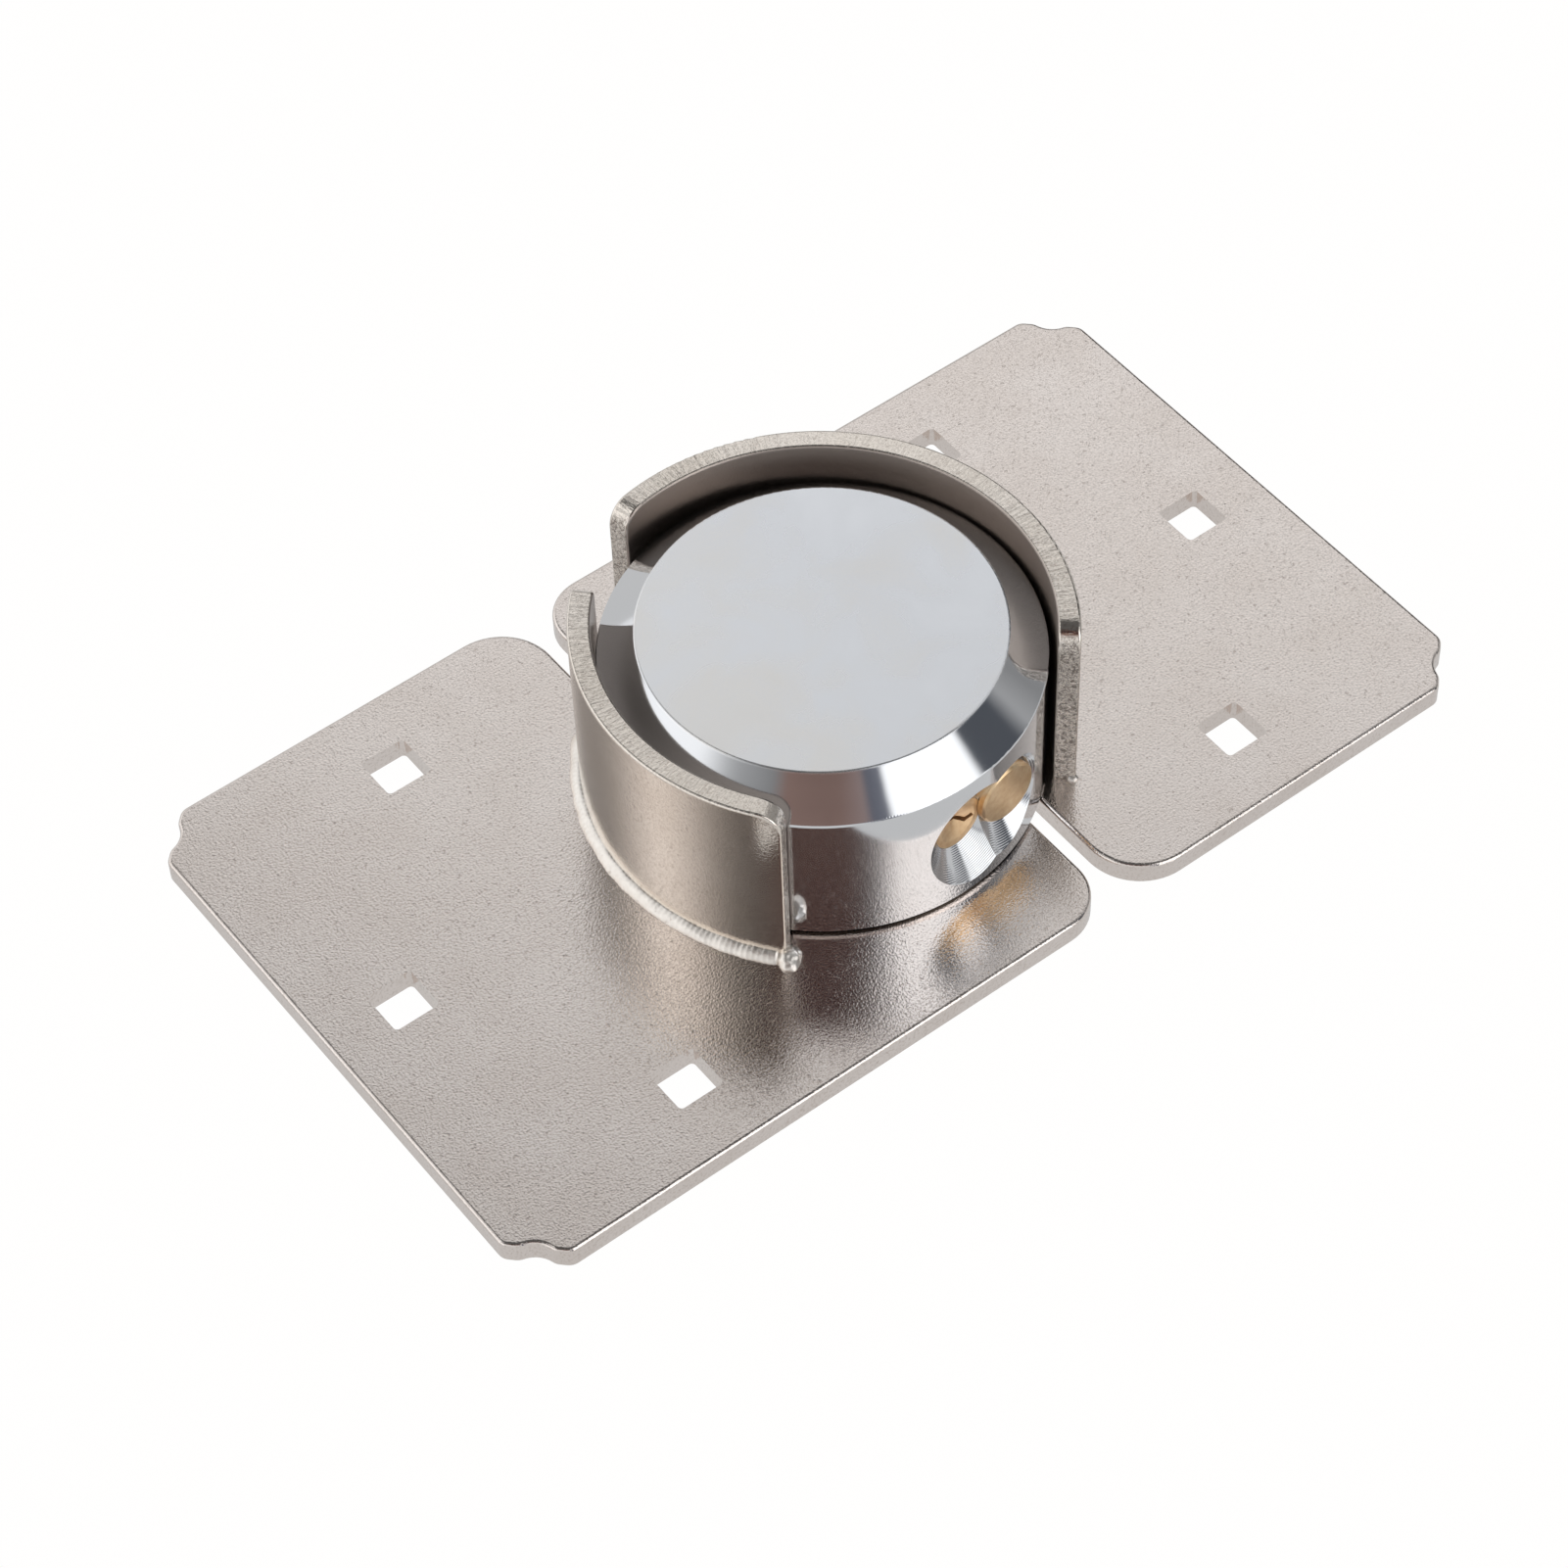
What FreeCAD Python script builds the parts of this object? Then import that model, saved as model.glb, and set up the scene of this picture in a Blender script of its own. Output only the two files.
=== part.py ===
import FreeCAD, Part
import Sketcher
import os
import re

from FreeCAD import Placement, Rotation, Vector

# A plate hasp of two welded leaves and the round padlock that joins them.
# Millimetres. The origin is the middle of the closed hasp, on the underside of its leaves.
# +X runs along the hasp to the right leaf, +Z up, and the keyhole looks towards -Y.
# The padlock's own frame has its origin on its axis, at its underside, with the front at -Y.

SIZES = {
    # Leaves: two equal L shaped blanks, the right one turned half round
    "plate_thickness": 4.0,
    "half_length": 97.2,
    "half_width": 55.0,
    "tongue_reach": 18.2,
    "leaf_gap": 4.0,
    "tongue_corner_round": 8.5,
    "heel_corner_round": 10.5,
    "inner_corner_round": 3.0,
    "outer_corner_cut": 7.8,
    "corner_scallop_radius": 4.6,
    "corner_scallop_depth": 0.9,
    "corner_shoulder_round": 2.4,
    "plate_edge_round": 0.7,
    "bolt_square": 8.5,
    "bolt_square_round": 0.8,
    "pair_hole_along": 56.6,
    "pair_hole_inset": 14.8,
    "end_hole_inset": 14.4,
    # Guards: rolled strips welded on edge round the padlock
    "lock_setback": 3.0,
    "guard_clearance": 2.0,
    "guard_shift": 1.6,
    "guard_setback": 0.5,
    "guard_thickness": 3.8,
    "guard_height": 35.8,
    "guard_end_round": 4.2,
    "guard_edge_round": 0.5,
    "left_guard_start": 133.0,
    "left_guard_sweep": 88.5,
    "right_guard_start": -42.5,
    "right_guard_sweep": 148.0,
    "weld_leg": 1.6,
    "weld_end_inset": 2.0,
    # Staples: an eye on each tongue, with a tenon through the leaf
    "staple_width": 18.0,
    "staple_thickness": 4.5,
    "staple_inset": 1.6,
    "staple_hole_slack": 2.0,
    "tenon_shoulder": 2.0,
    "plug_weld_width": 1.0,
    "plug_weld_depth": 1.2,
    # Padlock body
    "lock_radius": 36.5,
    "lock_wall_height": 27.7,
    "lock_height": 33.4,
    "lock_top_inset": 6.5,
    "lock_foot_chamfer": 0.8,
    "lock_edge_round": 0.5,
    "lock_lift": 0.3,
    "lock_turn": 6.5,
    "keyhole_height": 13.4,
    "key_offset": 1.95,
    "bolt_offset": 8.05,
    "key_face_setback": 3.9,
    "key_recess_radius": 10.95,
    "bolt_recess_radius": 10.95,
    "pocket_clearance": 0.5,
    "pocket_headroom": 0.7,
    "pocket_corner_round": 2.5,
    # Plug and wafer tumblers; across the plug means along the keyway
    "plug_radius": 4.4,
    "plug_lip_radius": 4.85,
    "plug_lip_thickness": 1.2,
    "plug_dish_radius": 3.6,
    "plug_dish_depth": 1.2,
    "bore_clearance": 0.05,
    "tail_radius": 2.2,
    "tail_length": 3.9,
    "drive_square": 3.0,
    "keyway_tilt": 41.0,
    "keyway_width": 0.8,
    "keyway_offset": 0.45,
    "keyway_reach": 3.2,
    "keyway_straight": 2.1,
    "keyway_arm": 1.5,
    "keyway_arm_turn": 61.0,
    "wafer_thickness": 0.9,
    "wafer_half_length": 3.6,
    "wafer_depth": 2.4,
    "wafer_shoulder": 1.5,
    "wafer_clearance": 0.05,
    "first_wafer_depth": 4.0,
    "wafer_window": 2.0,
    "wafer_window_height": 2.3,
    "window_step": 0.2,
    "wafer_spring_room": 3.0,
    "wafer_strip": 0.2,
    "groove_reach": 5.3,
    # Cam and its clip on the plug's tail
    "cam_gap": 0.2,
    "cam_thickness": 2.4,
    "cam_hub_radius": 3.6,
    "cam_finger_width": 4.0,
    "cam_finger_reach": 7.4,
    "cam_room": 0.45,
    "clip_thickness": 0.8,
    "clip_radius": 3.1,
    "clip_groove_radius": 1.7,
    # Bolt
    "bolt_radius": 4.25,
    "bolt_clearance": 0.1,
    "bolt_end_depth": 3.2,
    "bolt_tip_chamfer": 1.0,
    "bolt_travel": 24.0,
    "cap_radius": 5.7,
    "cap_gap": 0.1,
    "cap_proud": 1.45,
    "cap_edge_chamfer": 0.35,
    "cap_stem_radius": 2.4,
    "cap_stem_length": 4.0,
    "spring_seat_wall": 5.4,
    "spring_wire_radius": 0.25,
    "spring_clearance": 0.1,
    "spring_end_gap": 0.1,
    "notch_free_play": 5.6,
    "notch_gap": 0.5,
    "stop_pin_radius": 1.25,
    "stop_pin_gap": 3.3,
    "stop_groove_depth": 1.5,
    # Cover over the works, let into the underside
    "cover_thickness": 1.6,
    "cover_margin": 0.6,
    "cover_wall": 1.54,
    "cover_overlap": 4.7,
    "cover_reach": 7.0,
    "screw_radius": 1.25,
    "screw_head_radius": 2.3,
    "screw_length": 5.5,
    "screw_inset": 2.9,
}
WINDOW_STEPS = (1, -2, 0.5, -1, 2)
BOLT_SPRING_TURNS = 5.5
WAFER_SPRING_FOLDS = 4
size = SIZES

# Long working sizes, each written once from the sheet's cells
LOCK_Y = "-lock_setback"
GUARD_RADIUS = "(lock_radius + guard_clearance)"
# Each guard is rolled about a point past the padlock's axis, so it comes nearest at its middle
GUARD_Y = "(-lock_setback - guard_setback)"
LOCK_Z = "(plate_thickness + lock_lift)"
KEY_FACE = "(lock_radius - key_face_setback)"
PLUG_BORE = "(plug_radius + bore_clearance)"
LIP_BORE = "(plug_lip_radius + bore_clearance)"
LIP_REAR = f"(-{KEY_FACE} + plug_lip_thickness)"
BOLT_BORE = "(bolt_radius + bolt_clearance)"
SPRING_BORE = "(bolt_radius + 2 * spring_clearance + 2 * spring_wire_radius)"
CAP_FACE = f"({KEY_FACE} + cap_proud)"
CAP_REAR = f"({KEY_FACE} + cap_gap)"
LOCK_TOP = "(lock_radius - lock_top_inset)"
STAPLE_SPREAD = "(leaf_gap / 2 + staple_inset + staple_thickness)"
STAPLE_HALF = "(staple_width / 2)"
TURN = "(lock_turn * 1 deg)"
POCKET_HALF_ALONG = (
    f"({STAPLE_HALF} * cos({TURN}) + {STAPLE_SPREAD} * sin({TURN}) + pocket_clearance)"
)
POCKET_HALF_DEEP = (
    f"({STAPLE_HALF} * sin({TURN}) + {STAPLE_SPREAD} * cos({TURN}) + pocket_clearance)"
)
# The bolt crosses the hasp's middle line here, measured back from the padlock's axis
BOLT_CROSSING = f"((lock_setback - bolt_offset * sin({TURN})) / cos({TURN}))"
STAPLE_X = f"(bolt_offset * cos({TURN}) - {BOLT_CROSSING} * sin({TURN}))"
EYE_HEIGHT = "(lock_lift + keyhole_height)"
STAPLE_EYE = "(bolt_radius + staple_hole_slack)"
STAPLE_TOP = f"({EYE_HEIGHT} + {STAPLE_HALF})"
POCKET_DEPTH = f"({STAPLE_TOP} - lock_lift + pocket_headroom)"
POCKET_BACK = f"({BOLT_CROSSING} + {POCKET_HALF_DEEP})"
BOLT_TIP = f"({POCKET_BACK} + bolt_end_depth)"
# From the staple pocket forwards: cover, cam slot, plug, stop pin and spring seat
COVER_REAR = f"({POCKET_HALF_DEEP} - {BOLT_CROSSING} + cover_wall)"
CAM_SLOT_REAR = f"({COVER_REAR} + cover_margin)"
PLUG_REAR = f"({CAM_SLOT_REAR} + tail_length + cam_gap)"
CAM_FRONT = f"({PLUG_REAR} - cam_gap)"
CAM_REAR = f"({CAM_FRONT} - cam_thickness)"
CLIP_FRONT = f"({CAM_REAR} - cam_gap)"
STOP_PIN = f"({CAM_FRONT} + stop_pin_gap)"
SPRING_SEAT = f"({STOP_PIN} + spring_seat_wall)"
COVER_FRONT = f"({STOP_PIN} + cover_overlap)"
COVER_LEFT = "(-key_offset - cam_finger_reach - cam_room - cover_margin)"
COVER_RIGHT = "(bolt_offset + cover_reach)"
WAFER_PITCH = f"(({KEY_FACE} - {PLUG_REAR} - first_wafer_depth) / {len(WINDOW_STEPS)})"
KEYWAY_TURN = "(keyway_tilt * 1 deg)"
ARM_TURN = "(keyway_arm_turn * 1 deg)"

WORD = re.compile(r"[a-z_]+")

doc = FreeCAD.newDocument("hasp_and_padlock")
sheet = doc.addObject("Spreadsheet::Sheet", "Sizes")
for row, (name, number) in enumerate(SIZES.items(), start=1):
    sheet.set(f"A{row}", name.replace("_", " "))
    sheet.set(f"B{row}", str(number))
    sheet.setAlias(f"B{row}", name)
doc.recompute()


def tied(text):
    """Point every size named in an expression at its cell of the sheet."""
    return WORD.sub(
        lambda word: f"Sizes.{word.group()}" if word.group() in SIZES else word.group(), text
    )


gauge = doc.addObject("App::FeaturePython", "Gauge")
gauge.addProperty("App::PropertyFloat", "Reading")


def value(text):
    """Work out an expression's number, for pieces that are shaped by hand."""
    gauge.setExpression("Reading", tied(text))
    doc.recompute([gauge])
    return gauge.Reading


def new_body(label):
    """Start a piece with a label of its own."""
    body = doc.addObject("PartDesign::Body", label)
    body.Label = label
    return body


def new_sketch(body, role, across="0", up="0", out="0"):
    """Attach a sketch to one of the body's origin planes, moved by the three offsets."""
    sketch = body.newObject("Sketcher::SketchObject", "Sketch")
    planes = {item.Role: item for item in body.Origin.OriginFeatures}
    sketch.AttachmentSupport = [(planes[role], "")]
    sketch.MapMode = "FlatFace"
    for axis, text in zip("xyz", (across, up, out)):
        sketch.setExpression(f"AttachmentOffset.Base.{axis}", tied(text))
    return sketch


def pin_point(sketch, line, end, across, up):
    """Hold one end of a line at a place given by two expressions."""
    for kind, text in (("DistanceX", across), ("DistanceY", up)):
        point = sketch.getPoint(line, end)
        start = point.x if kind == "DistanceX" else point.y
        index = sketch.addConstraint(Sketcher.Constraint(kind, -1, 1, line, end, start))
        sketch.setExpression(f"Constraints[{index}]", tied(text))


def polygon(sketch, corners):
    """Draw a closed outline whose corners are pairs of expressions."""
    spots = [Vector(value(across), value(up), 0) for across, up in corners]
    first = sketch.GeometryCount
    count = len(corners)
    for index, spot in enumerate(spots):
        sketch.addGeometry(Part.LineSegment(spot, spots[(index + 1) % count]))
    for index, (across, up) in enumerate(corners):
        here = first + index
        after = first + (index + 1) % count
        sketch.addConstraint(Sketcher.Constraint("Coincident", here, 2, after, 1))
        pin_point(sketch, here, 1, across, up)


def rectangle(sketch, left, bottom, right, top):
    """Draw an upright rectangle between four expressions."""
    polygon(sketch, [(left, bottom), (right, bottom), (right, top), (left, top)])


def circle(sketch, across, up, radius):
    """Draw a circle from a centre and a radius given as expressions."""
    centre = Vector(value(across), value(up), 0)
    index = sketch.addGeometry(Part.Circle(centre, Vector(0, 0, 1), value(radius)))
    pin_point(sketch, index, 3, across, up)
    held = sketch.addConstraint(Sketcher.Constraint("Radius", index, value(radius)))
    sketch.setExpression(f"Constraints[{held}]", tied(radius))


def extrude(body, kind, sketch, length, backwards=False):
    """Pad or pocket a sketch by a length given as an expression."""
    feature = body.newObject(f"PartDesign::{kind}", kind)
    feature.Profile = sketch
    feature.setExpression("Length", tied(length))
    feature.Reversed = backwards
    doc.recompute()
    return feature


def turn(body, kind, sketch, angle="360"):
    """Revolve or groove a sketch about its own upright axis."""
    feature = body.newObject(f"PartDesign::{kind}", kind)
    feature.Profile = sketch
    feature.ReferenceAxis = (sketch, ["V_Axis"])
    feature.setExpression("Angle", tied(angle))
    doc.recompute()
    return feature


def round_edges(body, kind, wanted, width):
    """Fillet or chamfer the edges that a test picks, by a width given as an expression."""
    base = body.Tip
    names = [f"Edge{n}" for n, edge in enumerate(base.Shape.Edges, start=1) if wanted(edge)]
    feature = body.newObject(f"PartDesign::{kind}", kind)
    feature.Base = (base, names)
    feature.setExpression("Radius" if kind == "Fillet" else "Size", tied(width))
    doc.recompute()
    return feature


def stands_at(edge, across, along, slack=0.01):
    """Say whether an edge is upright over a point in plan."""
    ends = [vertex.Point for vertex in edge.Vertexes]
    return len(ends) == 2 and all(
        abs(end.x - across) < slack and abs(end.y - along) < slack for end in ends
    )


def flat_at(edge, height, slack=0.001):
    """Say whether a whole edge lies at one height."""
    box = edge.BoundBox
    return abs(box.ZMin - height) < slack and abs(box.ZMax - height) < slack


def place(piece, across="0", along="0", up="0", angle="0"):
    """Put a piece in the hasp's frame, turned about the upright axis."""
    for axis, text in zip("xyz", (across, along, up)):
        piece.setExpression(f"Placement.Base.{axis}", tied(text))
    piece.Placement = Placement(piece.Placement.Base, Rotation(Vector(0, 0, 1), value(angle)))
    piece.setExpression("Placement.Rotation.Angle", f"({tied(angle)}) * 1 deg")
    return piece


def place_in_lock(piece):
    """Put a piece that is drawn in the padlock's frame where the padlock is."""
    return place(piece, along=LOCK_Y, up=LOCK_Z, angle="lock_turn")


def pull_through(text):
    """Lengthen a cut so that it runs clear of both faces."""
    return f"({text} + 2)"


def leaf(label, staple_side, angle):
    """One L shaped blank with its square holes and the slot of its staple."""
    body = new_body(label)
    outline = new_sketch(body, "XY_Plane")
    heel = "(-tongue_reach - leaf_gap)"
    seam = "(-leaf_gap / 2)"
    polygon(outline, [
        ("-half_length", "-half_width + outer_corner_cut"),
        ("-half_length + outer_corner_cut", "-half_width"),
        ("tongue_reach", "-half_width"),
        ("tongue_reach", seam),
        (heel, seam),
        (heel, "half_width"),
        ("-half_length + outer_corner_cut", "half_width"),
        ("-half_length", "half_width - outer_corner_cut"),
    ])
    extrude(body, "Pad", outline, "plate_thickness")
    scallop_outer_corners(body)
    round_leaf_corners(body)
    top = size["plate_thickness"]
    round_edges(body, "Fillet", lambda edge: flat_at(edge, top), "plate_edge_round")
    cut_bolt_squares(body)
    cut_staple_slot(body, staple_side)
    return place(body, angle=angle)


def scallop_outer_corners(body):
    """Hollow the middle of both cut corners."""
    sketch = new_sketch(body, "XY_Plane")
    out = "(outer_corner_cut / 2 - (corner_scallop_radius - corner_scallop_depth) / sqrt(2))"
    for side in ("-1", "1"):
        circle(sketch, f"-half_length + {out}", f"{side} * (half_width - {out})",
               "corner_scallop_radius")
    extrude(body, "Pocket", sketch, pull_through("plate_thickness"), backwards=True)


def round_leaf_corners(body):
    """Round the tongue, the heel, the hidden step and the shoulders of the cut corners."""
    reach, heel = size["tongue_reach"], -size["tongue_reach"] - size["leaf_gap"]
    width, seam = size["half_width"], -size["leaf_gap"] / 2
    round_edges(body, "Fillet", lambda edge: stands_at(edge, reach, -width), "tongue_corner_round")
    round_edges(body, "Fillet", lambda edge: stands_at(edge, heel, width), "heel_corner_round")
    round_edges(body, "Fillet",
                lambda edge: stands_at(edge, reach, seam) or stands_at(edge, heel, seam),
                "inner_corner_round")
    cut_start = size["outer_corner_cut"] + size["plate_edge_round"]

    def in_cut_corner(edge):
        box = edge.BoundBox
        upright = box.XLength < 0.01 and box.YLength < 0.01
        return (upright and box.XMax < cut_start - size["half_length"]
                and abs(box.YMax) > width - cut_start)

    round_edges(body, "Fillet", in_cut_corner, "corner_shoulder_round")


def cut_bolt_squares(body):
    """Cut the three square holes for coach bolts and round their corners."""
    sketch = new_sketch(body, "XY_Plane")
    across = "(half_width - pair_hole_inset)"
    centres = [("-pair_hole_along", across), ("-pair_hole_along", f"-{across}"),
               ("(end_hole_inset - half_length)", "0")]
    for along, side in centres:
        rectangle(sketch, f"{along} - bolt_square / 2", f"{side} - bolt_square / 2",
                  f"{along} + bolt_square / 2", f"{side} + bolt_square / 2")
    extrude(body, "Pocket", sketch, pull_through("plate_thickness"), backwards=True)
    spots = [(value(along), value(side)) for along, side in centres]
    half = size["bolt_square"] / 2

    def in_square(edge):
        box = edge.BoundBox
        upright = box.XLength < 0.01 and box.YLength < 0.01
        return upright and any(abs(abs(box.XMax - x) - half) < 0.01
                               and abs(abs(box.YMax - y) - half) < 0.01 for x, y in spots)

    round_edges(body, "Fillet", in_square, "bolt_square_round")


def cut_staple_slot(body, side):
    """Cut the slot of the staple's tenon and the groove of its weld below."""
    middle = f"({side} * {STAPLE_X})"
    tenon = f"({STAPLE_HALF} - tenon_shoulder)"
    inner = "(leaf_gap / 2 + staple_inset)"
    slot = new_sketch(body, "XY_Plane")
    rectangle(slot, f"{middle} - {tenon}", f"-{STAPLE_SPREAD}",
              f"{middle} + {tenon}", f"-{inner}")
    extrude(body, "Pocket", slot, pull_through("plate_thickness"), backwards=True)
    groove = new_sketch(body, "XY_Plane")
    rectangle(groove, f"{middle} - {tenon} - plug_weld_width",
              f"-{STAPLE_SPREAD} - plug_weld_width",
              f"{middle} + {tenon} + plug_weld_width", f"-{inner} + plug_weld_width")
    extrude(body, "Pocket", groove, "plug_weld_depth", backwards=True)


def staple(label, angle):
    """An eye of flat bar with a round head, and a tenon through the leaf."""
    body = new_body(label)
    inner = "(leaf_gap / 2 + staple_inset)"
    stem = new_sketch(body, "XZ_Plane", out=inner)
    rectangle(stem, f"-{STAPLE_HALF}", "0", STAPLE_HALF, EYE_HEIGHT)
    extrude(body, "Pad", stem, "staple_thickness")
    head = new_sketch(body, "XZ_Plane", out=inner)
    circle(head, "0", EYE_HEIGHT, STAPLE_HALF)
    extrude(body, "Pad", head, "staple_thickness")
    tenon = new_sketch(body, "XZ_Plane", out=inner)
    rectangle(tenon, f"-{STAPLE_HALF} + tenon_shoulder", "-plate_thickness",
              f"{STAPLE_HALF} - tenon_shoulder", "0")
    extrude(body, "Pad", tenon, "staple_thickness")
    eye = new_sketch(body, "XZ_Plane", out=f"{inner} + staple_thickness")
    circle(eye, "0", EYE_HEIGHT, STAPLE_EYE)
    extrude(body, "Pocket", eye, "staple_thickness")
    return place(body, across=STAPLE_X, up="plate_thickness", angle=angle)


def staple_weld(label, angle):
    """The weld that fills the groove round a tenon, ground flush with the leaf's underside."""
    body = new_body(label)
    tenon = f"({STAPLE_HALF} - tenon_shoulder)"
    inner = "(leaf_gap / 2 + staple_inset)"
    bead = new_sketch(body, "XY_Plane")
    rectangle(bead, f"-{tenon} - plug_weld_width", f"-{STAPLE_SPREAD} - plug_weld_width",
              f"{tenon} + plug_weld_width", f"-{inner} + plug_weld_width")
    rectangle(bead, f"-{tenon}", f"-{STAPLE_SPREAD}", tenon, f"-{inner}")
    extrude(body, "Pad", bead, "plug_weld_depth")
    return place(body, across=STAPLE_X, angle=angle)


def guard(label, side, start, sweep, squarer_start):
    """A strip rolled to an arc round the padlock, with its top corners rounded."""
    body = new_body(label)
    section = new_sketch(body, "XZ_Plane")
    rectangle(section, GUARD_RADIUS, "0", f"{GUARD_RADIUS} + guard_thickness", "guard_height")
    turn(body, "Revolution", section, sweep)
    height = size["guard_height"]

    def top_end(edge, at_start):
        radial = edge.Curve.TypeId == "Part::GeomLine" and flat_at(edge, height)
        return radial and (abs(edge.BoundBox.YMax) < 0.01) == at_start

    first_round = "guard_end_round / 3" if squarer_start else "guard_end_round"
    round_edges(body, "Fillet", lambda edge: top_end(edge, True), first_round)
    round_edges(body, "Fillet", lambda edge: top_end(edge, False), "guard_end_round")
    round_edges(body, "Fillet", lambda edge: flat_at(edge, height), "guard_edge_round")
    return place(body, f"{side} * guard_shift", GUARD_Y, "plate_thickness", start)


def guard_weld(label, side, start, sweep):
    """The fillet weld along a guard's outer foot."""
    body = new_body(label)
    wall = f"({GUARD_RADIUS} + guard_thickness)"
    section = new_sketch(body, "XZ_Plane")
    polygon(section, [(wall, "0"), (f"{wall} + weld_leg", "0"),
                      (f"{wall} + weld_leg * 0.6", "weld_leg * 0.6"), (wall, "weld_leg")])
    turn(body, "Revolution", section, f"{sweep} - 2 * weld_end_inset")
    return place(body, f"{side} * guard_shift", GUARD_Y, "plate_thickness",
                 f"{start} + weld_end_inset")


def padlock_body():
    """The solid round body, bored for the plug and the bolt and open below for the staples."""
    body = new_body("padlock_body")
    section = new_sketch(body, "XZ_Plane")
    polygon(section, [
        ("0", "0"), ("lock_radius - lock_foot_chamfer", "0"), ("lock_radius", "lock_foot_chamfer"),
        ("lock_radius", "lock_wall_height"), (LOCK_TOP, "lock_height"),
        ("0", "lock_height"),
    ])
    turn(body, "Revolution", section)
    upper = (size["lock_wall_height"], size["lock_height"])
    round_edges(body, "Fillet", lambda edge: any(flat_at(edge, z) for z in upper),
                "lock_edge_round")
    bore_front(body, "-key_offset", "key_recess_radius", LIP_BORE, [
        (LIP_BORE, LIP_REAR), (PLUG_BORE, LIP_REAR),
        (PLUG_BORE, f"-{PLUG_REAR}"), ("0", f"-{PLUG_REAR}"),
    ])
    bore_front(body, "bolt_offset", "bolt_recess_radius", "(cap_radius + bolt_clearance)", [
        (SPRING_BORE, f"-{KEY_FACE}"), (SPRING_BORE, f"-{SPRING_SEAT}"),
        (BOLT_BORE, f"-{SPRING_SEAT}"), (BOLT_BORE, f"{BOLT_TIP} + pocket_clearance"),
        ("0", f"{BOLT_TIP} + pocket_clearance"),
    ])
    broach_wafer_groove(body)
    mill_underside(body)
    return place_in_lock(body)


def bore_front(body, offset, mouth, bore, rest):
    """Turn one countersunk bore from the front, on an axis that runs back into the body."""
    flare = f"({mouth} + 2 * ({mouth} - {bore}) / key_face_setback)"
    sketch = new_sketch(body, "XY_Plane", across=offset, out="keyhole_height")
    polygon(sketch, [("0", "-lock_radius - 2"), (flare, "-lock_radius - 2"),
                     (bore, f"-{KEY_FACE}")] + rest)
    turn(body, "Groove", sketch)


def mill_underside(body):
    """Cut what opens downwards: the staple pocket, cam slot, cover seat and small holes."""
    pocket = new_sketch(body, "XY_Plane")
    rectangle(pocket, f"bolt_offset - {POCKET_HALF_ALONG}", f"{BOLT_CROSSING} - {POCKET_HALF_DEEP}",
              f"bolt_offset + {POCKET_HALF_ALONG}", f"{BOLT_CROSSING} + {POCKET_HALF_DEEP}")
    extrude(body, "Pocket", pocket, POCKET_DEPTH, backwards=True)
    round_pocket_corners(body)
    slot = new_sketch(body, "XY_Plane")
    room = "(cam_finger_reach + cam_room)"
    rectangle(slot, f"-key_offset - {room}", f"-{PLUG_REAR}",
              f"-key_offset + {room}", f"-{CAM_SLOT_REAR}")
    extrude(body, "Pocket", slot, f"keyhole_height + {room}", backwards=True)
    seat = new_sketch(body, "XY_Plane")
    rectangle(seat, COVER_LEFT, f"-{COVER_FRONT}", COVER_RIGHT, f"-{COVER_REAR}")
    extrude(body, "Pocket", seat, "cover_thickness", backwards=True)
    stop = new_sketch(body, "XY_Plane")
    circle(stop, "bolt_offset", f"-{STOP_PIN}", "stop_pin_radius + bore_clearance")
    extrude(body, "Pocket", stop, "keyhole_height - stop_pin_radius", backwards=True)
    threads = new_sketch(body, "XY_Plane")
    for across, along in SCREW_PLACES:
        circle(threads, across, along, "screw_radius")
    extrude(body, "Pocket", threads, "screw_length + pocket_clearance", backwards=True)


def round_pocket_corners(body):
    """Round the upright corners of the staple pocket as its cutter leaves them."""
    middle = size["bolt_offset"]
    crossing = value(BOLT_CROSSING)
    along, deep = value(POCKET_HALF_ALONG), value(POCKET_HALF_DEEP)

    def in_corner(edge):
        return any(stands_at(edge, middle + side * along, crossing + end * deep)
                   for side in (-1, 1) for end in (-1, 1))

    round_edges(body, "Fillet", in_corner, "pocket_corner_round")


def swung(along, across):
    """A point of a cross section that is turned about the plug's axis as the keyway is."""
    return (f"({along}) * cos({KEYWAY_TURN}) + ({across}) * sin({KEYWAY_TURN})",
            f"({across}) * cos({KEYWAY_TURN}) - ({along}) * sin({KEYWAY_TURN})")


def broach_wafer_groove(body):
    """Cut the groove beside the plug's bore that the wafers lock into."""
    groove = new_sketch(body, "XZ_Plane", across="-key_offset", up="keyhole_height",
                        out=f"-{LIP_REAR}")
    low, high = "-wafer_shoulder", "wafer_depth + wafer_clearance"
    polygon(groove, [swung("-groove_reach", low), swung("0", low),
                     swung("0", high), swung("-groove_reach", high)])
    extrude(body, "Pocket", groove, f"-{LIP_REAR} - {PLUG_REAR}")


def wafer_place(wafer):
    """Where the front face of a wafer stands along the padlock's depth."""
    return f"(-{KEY_FACE} + first_wafer_depth + {wafer} * {WAFER_PITCH})"


def place_in_plug(piece):
    """Put a piece that is drawn round the plug's axis where the plug is."""
    own = Placement(Vector(-size["key_offset"], 0, size["keyhole_height"]),
                    Rotation(Vector(0, 1, 0), size["keyway_tilt"]))
    piece.Placement = lock_placement().multiply(own)
    return piece


SCREW_PLACES = (
    (f"({COVER_LEFT} + screw_inset)", f"(-{COVER_FRONT} + screw_inset)"),
    (f"({COVER_RIGHT} - screw_inset)", f"(-{COVER_FRONT} + screw_inset)"),
    (f"({COVER_RIGHT} - screw_inset)", f"(-{COVER_REAR} - screw_inset)"),
)


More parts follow.
